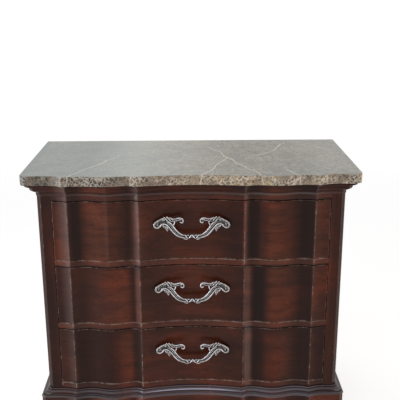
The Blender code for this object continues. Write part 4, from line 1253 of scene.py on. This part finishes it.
def boss(side, foot):
    """The stub that carries one end of a pull on the drawer front."""
    length = forward_at(BOLT_SIDE) - foot
    bpy.ops.mesh.primitive_cylinder_add(
        vertices=32, radius=BOSS_RADIUS, depth=length,
        location=(side * BOLT_SIDE, -(foot + length / 2), 0.0), rotation=(math.pi / 2, 0, 0),
    )
    stub = start_piece("boss")
    bpy.ops.object.transform_apply(location=True, rotation=True, scale=True)
    with editing():
        bpy.ops.mesh.bevel(offset=0.8, segments=3, affect="EDGES")
    return stub


def note_hollows(piece, rounds, depth):
    """Write how proud each point of a piece stands: 1 on its rims and 0 in its hollows, with
    painted shade making sides turned away from the front darker.
    """
    mesh = piece.data
    count = len(mesh.vertices)
    places = np.empty(count * 3)
    mesh.vertices.foreach_get("co", places)
    normals = np.empty(count * 3)
    mesh.vertices.foreach_get("normal", normals)
    ends = np.empty(len(mesh.edges) * 2, dtype=int)
    mesh.edges.foreach_get("vertices", ends)
    places, normals, ends = places.reshape(-1, 3), normals.reshape(-1, 3), ends.reshape(-1, 2)
    both = np.concatenate([ends, ends[:, ::-1]])
    near = np.bincount(both[:, 0], minlength=count)
    levelled = places.copy()
    for _ in range(rounds):
        for axis in range(3):
            total = np.bincount(both[:, 0], levelled[both[:, 1], axis], minlength=count)
            levelled[:, axis] = total / near
    proud = ((places - levelled) * normals).sum(axis=1)
    # Sides turned away from the front are made darker as painted shade.
    side_shade = 1.0 - np.clip(-normals[:, 1], 0.0, 1.0)
    share = np.clip(0.55 + (proud - np.median(proud)) / depth - 0.3 * side_shade, 0.0, 1.0)
    note_points(piece, "proud", share)


class CHEST_OT_cast_pulls(bpy.types.Operator):
    """Cast the pulls: stems, leaf heads, hooks, leaflets and a crossed ribbon"""

    bl_idname = "chest.cast_pulls"
    bl_label = "Cast pulls"

    def execute(self, context):
        half = joined(cast_half(), "half_pull")
        apply_modifier(half, "MIRROR", "Mirror", use_mirror_merge=False)
        pull = joined([half, *cast_ribbon()], "pull")
        for corner in pull.data.vertices:
            forward = forward_at(corner.co.x) - CAST_FLATNESS * corner.co.y
            corner.co.y = -forward
        edge = BOLT_SIDE + BOSS_RADIUS + BOSS_CLEARANCE
        foot = 1000 * relief(edge * MM, CASE_LINE) + BOSS_CLEARANCE
        pull = joined([pull, boss(-1, foot), boss(1, foot)], "pull")
        grain = context.scene.chest_sizes.casting_grain / MM
        apply_modifier(pull, "REMESH", "Cast", mode="VOXEL", voxel_size=grain)
        apply_modifier(pull, "SMOOTH", "Fettle", factor=0.5, iterations=2)
        note_hollows(pull, rounds=30, depth=1.9)
        pull.data.transform(Matrix.Scale(MM, 4))
        silver = finish_named("rubbed_antique_silver", rubbed_silver)
        for number in DRAWERS:
            only(pull)
            bpy.ops.object.duplicate()
            casting = start_piece(f"drawer_{number}_pull_cast")
            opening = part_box(f"rail_{number}")[1].z
            place = Matrix.Translation((0.0, STILE_FACE, opening + BOLT_RISE))
            casting.data.transform(place)
            dress(
                casting, f"drawer_{number}", [silver],
                [f"drawer_{number}_pull"], angle=60, level=False,
            )
        bpy.data.objects.remove(pull)
        return {"FINISHED"}


class CHEST_OT_finish_boards(bpy.types.Operator):
    """Finish the boards and bolts that keep the frame's own shape"""

    bl_idname = "chest.finish_boards"
    bl_label = "Finish plain boards and bolts"

    def execute(self, context):
        poplar = {
            grain: finish_named(f"planed_poplar_{grain}", pale_board, grain, "#c8a878", "#9c7a4c")
            for grain in GRAIN_TURNS
        }
        ply = finish_named("birch_plywood_X", pale_board, "X", "#cdb185", "#b79a6c", 24.0)
        steel = finish_named("zinc_plated_steel", zinc_plated_steel)
        dark = mahogany_pair("X", "back", 0.5)[0]
        finishes = {
            "cornice_back": dark, "base_back": dark, "top_board": poplar["X"],
            "back_panel": ply, "plinth_back": poplar["X"],
        }
        for place in ("front", "back"):
            for _, word in HALVES:
                finishes[f"corner_block_{place}_{word}"] = poplar["Z"]
        for number in DRAWERS:
            finishes[f"dust_panel_{number}"] = ply
            finishes[f"drawer_{number}_back"] = poplar["X"]
            finishes[f"drawer_{number}_bottom"] = ply
            for _, word in HALVES:
                finishes[f"runner_{number}_{word}"] = poplar["Y"]
                finishes[f"drawer_{number}_side_{word}"] = poplar["Y"]
                finishes[f"drawer_{number}_pull_bolt_{word}"] = steel
        for node, finish in finishes.items():
            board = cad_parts[node]
            board.data.materials.clear()
            board.data.materials.append(finish)
        return {"FINISHED"}


class CHEST_OT_nail_back(bpy.types.Operator):
    """Nail the back panel round its edge"""

    bl_idname = "chest.nail_back"
    bl_label = "Nail back panel"

    def execute(self, context):
        low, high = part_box("back_panel")
        radius = context.scene.chest_sizes.nail_radius
        steel = finish_named("zinc_plated_steel", zinc_plated_steel)
        places = []
        left, right = low.x + NAIL_INSET, high.x - NAIL_INSET
        bottom, top = low.z + NAIL_INSET, high.z - NAIL_INSET
        for step in range(NAILS_ACROSS):
            x = left + (right - left) * step / (NAILS_ACROSS - 1)
            places += [(x, bottom), (x, top)]
        for step in range(1, NAILS_UP - 1):
            z = bottom + (top - bottom) * step / (NAILS_UP - 1)
            places += [(left, z), (right, z)]
        heads = []
        for x, z in places:
            bpy.ops.mesh.primitive_cylinder_add(
                vertices=16, radius=radius, depth=radius / 2,
                location=(x, high.y + radius / 5, z), rotation=(math.pi / 2, 0, 0),
            )
            with editing():
                bpy.ops.mesh.bevel(offset=radius / 6, segments=2, affect="EDGES")
            heads.append(bpy.context.object)
        nails = joined(heads, "back_panel_nails")
        dress(nails, "case", [steel])
        return {"FINISHED"}


def seen_share(add):
    """1 for what the camera sees, straight or in a polished or clear surface, 0 for light."""
    path = add("LightPath")
    seen = add("Math", {
        0: path.outputs["Is Camera Ray"], 1: path.outputs["Is Glossy Ray"],
    }, operation="MAXIMUM")
    return add("Math", {0: seen, 1: path.outputs["Is Transmission Ray"]}, operation="MAXIMUM")


class CHEST_OT_set_stage(bpy.types.Operator):
    """Lay the pale floor and set the lamps, the sky and the camera"""

    bl_idname = "chest.set_stage"
    bl_label = "Set stage"

    def execute(self, context):
        scene = context.scene
        bpy.ops.mesh.primitive_plane_add(size=FLOOR_SIZE, location=(0.0, 0.0, -0.0005))
        floor = start_piece("floor")
        material, add, shader, place = new_finish("pale_floor")
        seen = seen_share(add)
        distance = add("VectorMath", {0: place}, operation="LENGTH")
        fade_start, fade_end = FLOOR_FADE
        shade = add("MapRange", {
            "Value": distance, "From Min": fade_start, "From Max": fade_end,
            "To Min": FLOOR_SHADE, "To Max": 0.0,
        })
        kept = add("Mix", {"Factor": seen, "A": 1.0, "B": shade}, data_type="FLOAT")
        colour = add(
            "VectorMath", {0: scene.chest_colours.floor, "Scale": kept}, operation="SCALE",
        )
        fill(shader, {"Base Color": colour, "Roughness": 0.9, "Specular IOR Level": 0.1})
        white = add("Math", {0: shade, 1: -FLOOR_LIGHT, 2: 1.0}, operation="MULTIPLY_ADD")
        strength = add("Math", {0: seen, 1: white}, operation="MULTIPLY")
        glow = add("Emission", {"Color": WHITE, "Strength": strength})
        both = add("AddShader", {0: shader, 1: glow})
        fill(material.node_tree.nodes["Material Output"], {"Surface": both})
        floor.data.materials.append(material)

        world = bpy.data.worlds.new("sky")
        scene.world = world
        add = bare_tree(world)
        strength = add("MapRange", {
            "Value": seen_share(add), "To Min": SKY_STRENGTH, "To Max": 1.0,
        })
        sky = add("Background", {"Color": WHITE, "Strength": strength})
        add("OutputWorld", {"Surface": sky})

        for name, place, target, size, power, colour in LAMPS:
            bpy.ops.object.light_add(type="AREA", location=place)
            lamp = bpy.context.object
            lamp.name = name
            lamp.data.shape = "RECTANGLE"
            lamp.data.size, lamp.data.size_y = size
            lamp.data.energy = power
            lamp.data.color = linear(colour)
            lamp.visible_camera = False
            aim = Vector(target) - Vector(place)
            lamp.rotation_euler = aim.to_track_quat("-Z", "Y").to_euler()

        bpy.ops.object.camera_add(location=CAMERA_PLACE)
        camera = bpy.context.object
        camera.name = "camera"
        camera.data.lens = CAMERA_LENS
        camera.data.sensor_width = 36.0
        pitch, yaw, roll = (math.radians(angle) for angle in CAMERA_DEGREES)
        turns = ((-yaw, "Z"), (math.pi / 2 - pitch, "X"), (-roll, "Z"))
        aside, level, over = (Matrix.Rotation(angle, 3, axis) for angle, axis in turns)
        camera.rotation_euler = (aside @ level @ over).to_euler()
        scene.camera = camera
        scene.view_settings.view_transform = "Standard"
        return {"FINISHED"}


class CHEST_PT_bench(bpy.types.Panel):
    """The chest's operators and settings"""

    bl_idname = "CHEST_PT_bench"
    bl_label = "Bachelor's Chest"
    bl_space_type = "VIEW_3D"
    bl_region_type = "UI"
    bl_category = "Chest"

    def draw(self, context):
        for operator in OPERATORS:
            self.layout.operator(operator.bl_idname)
        for group in (context.scene.chest_sizes, context.scene.chest_colours):
            for name in group.__annotations__:
                self.layout.prop(group, name)


OPERATORS = (
    CHEST_OT_lay_slab, CHEST_OT_run_cornice, CHEST_OT_fit_rails, CHEST_OT_fit_case,
    CHEST_OT_shape_fronts, CHEST_OT_cast_pulls, CHEST_OT_run_base, CHEST_OT_saw_brackets,
    CHEST_OT_finish_boards, CHEST_OT_nail_back, CHEST_OT_set_stage,
)
CLASSES = (ChestSizes, ChestColours, *OPERATORS, CHEST_PT_bench)


def register():
    """Make the chest's settings, operators and panel known."""
    for item in CLASSES:
        bpy.utils.register_class(item)
    bpy.types.Scene.chest_sizes = PointerProperty(type=ChestSizes)
    bpy.types.Scene.chest_colours = PointerProperty(type=ChestColours)


def unregister():
    """Take them away again."""
    del bpy.types.Scene.chest_colours
    del bpy.types.Scene.chest_sizes
    for item in reversed(CLASSES):
        bpy.utils.unregister_class(item)


def main():
    """Build every piece and set the stage."""
    register()
    for operator in OPERATORS:
        group, name = operator.bl_idname.split(".")
        getattr(getattr(bpy.ops, group), name)()


if __name__ == "__main__":
    main()
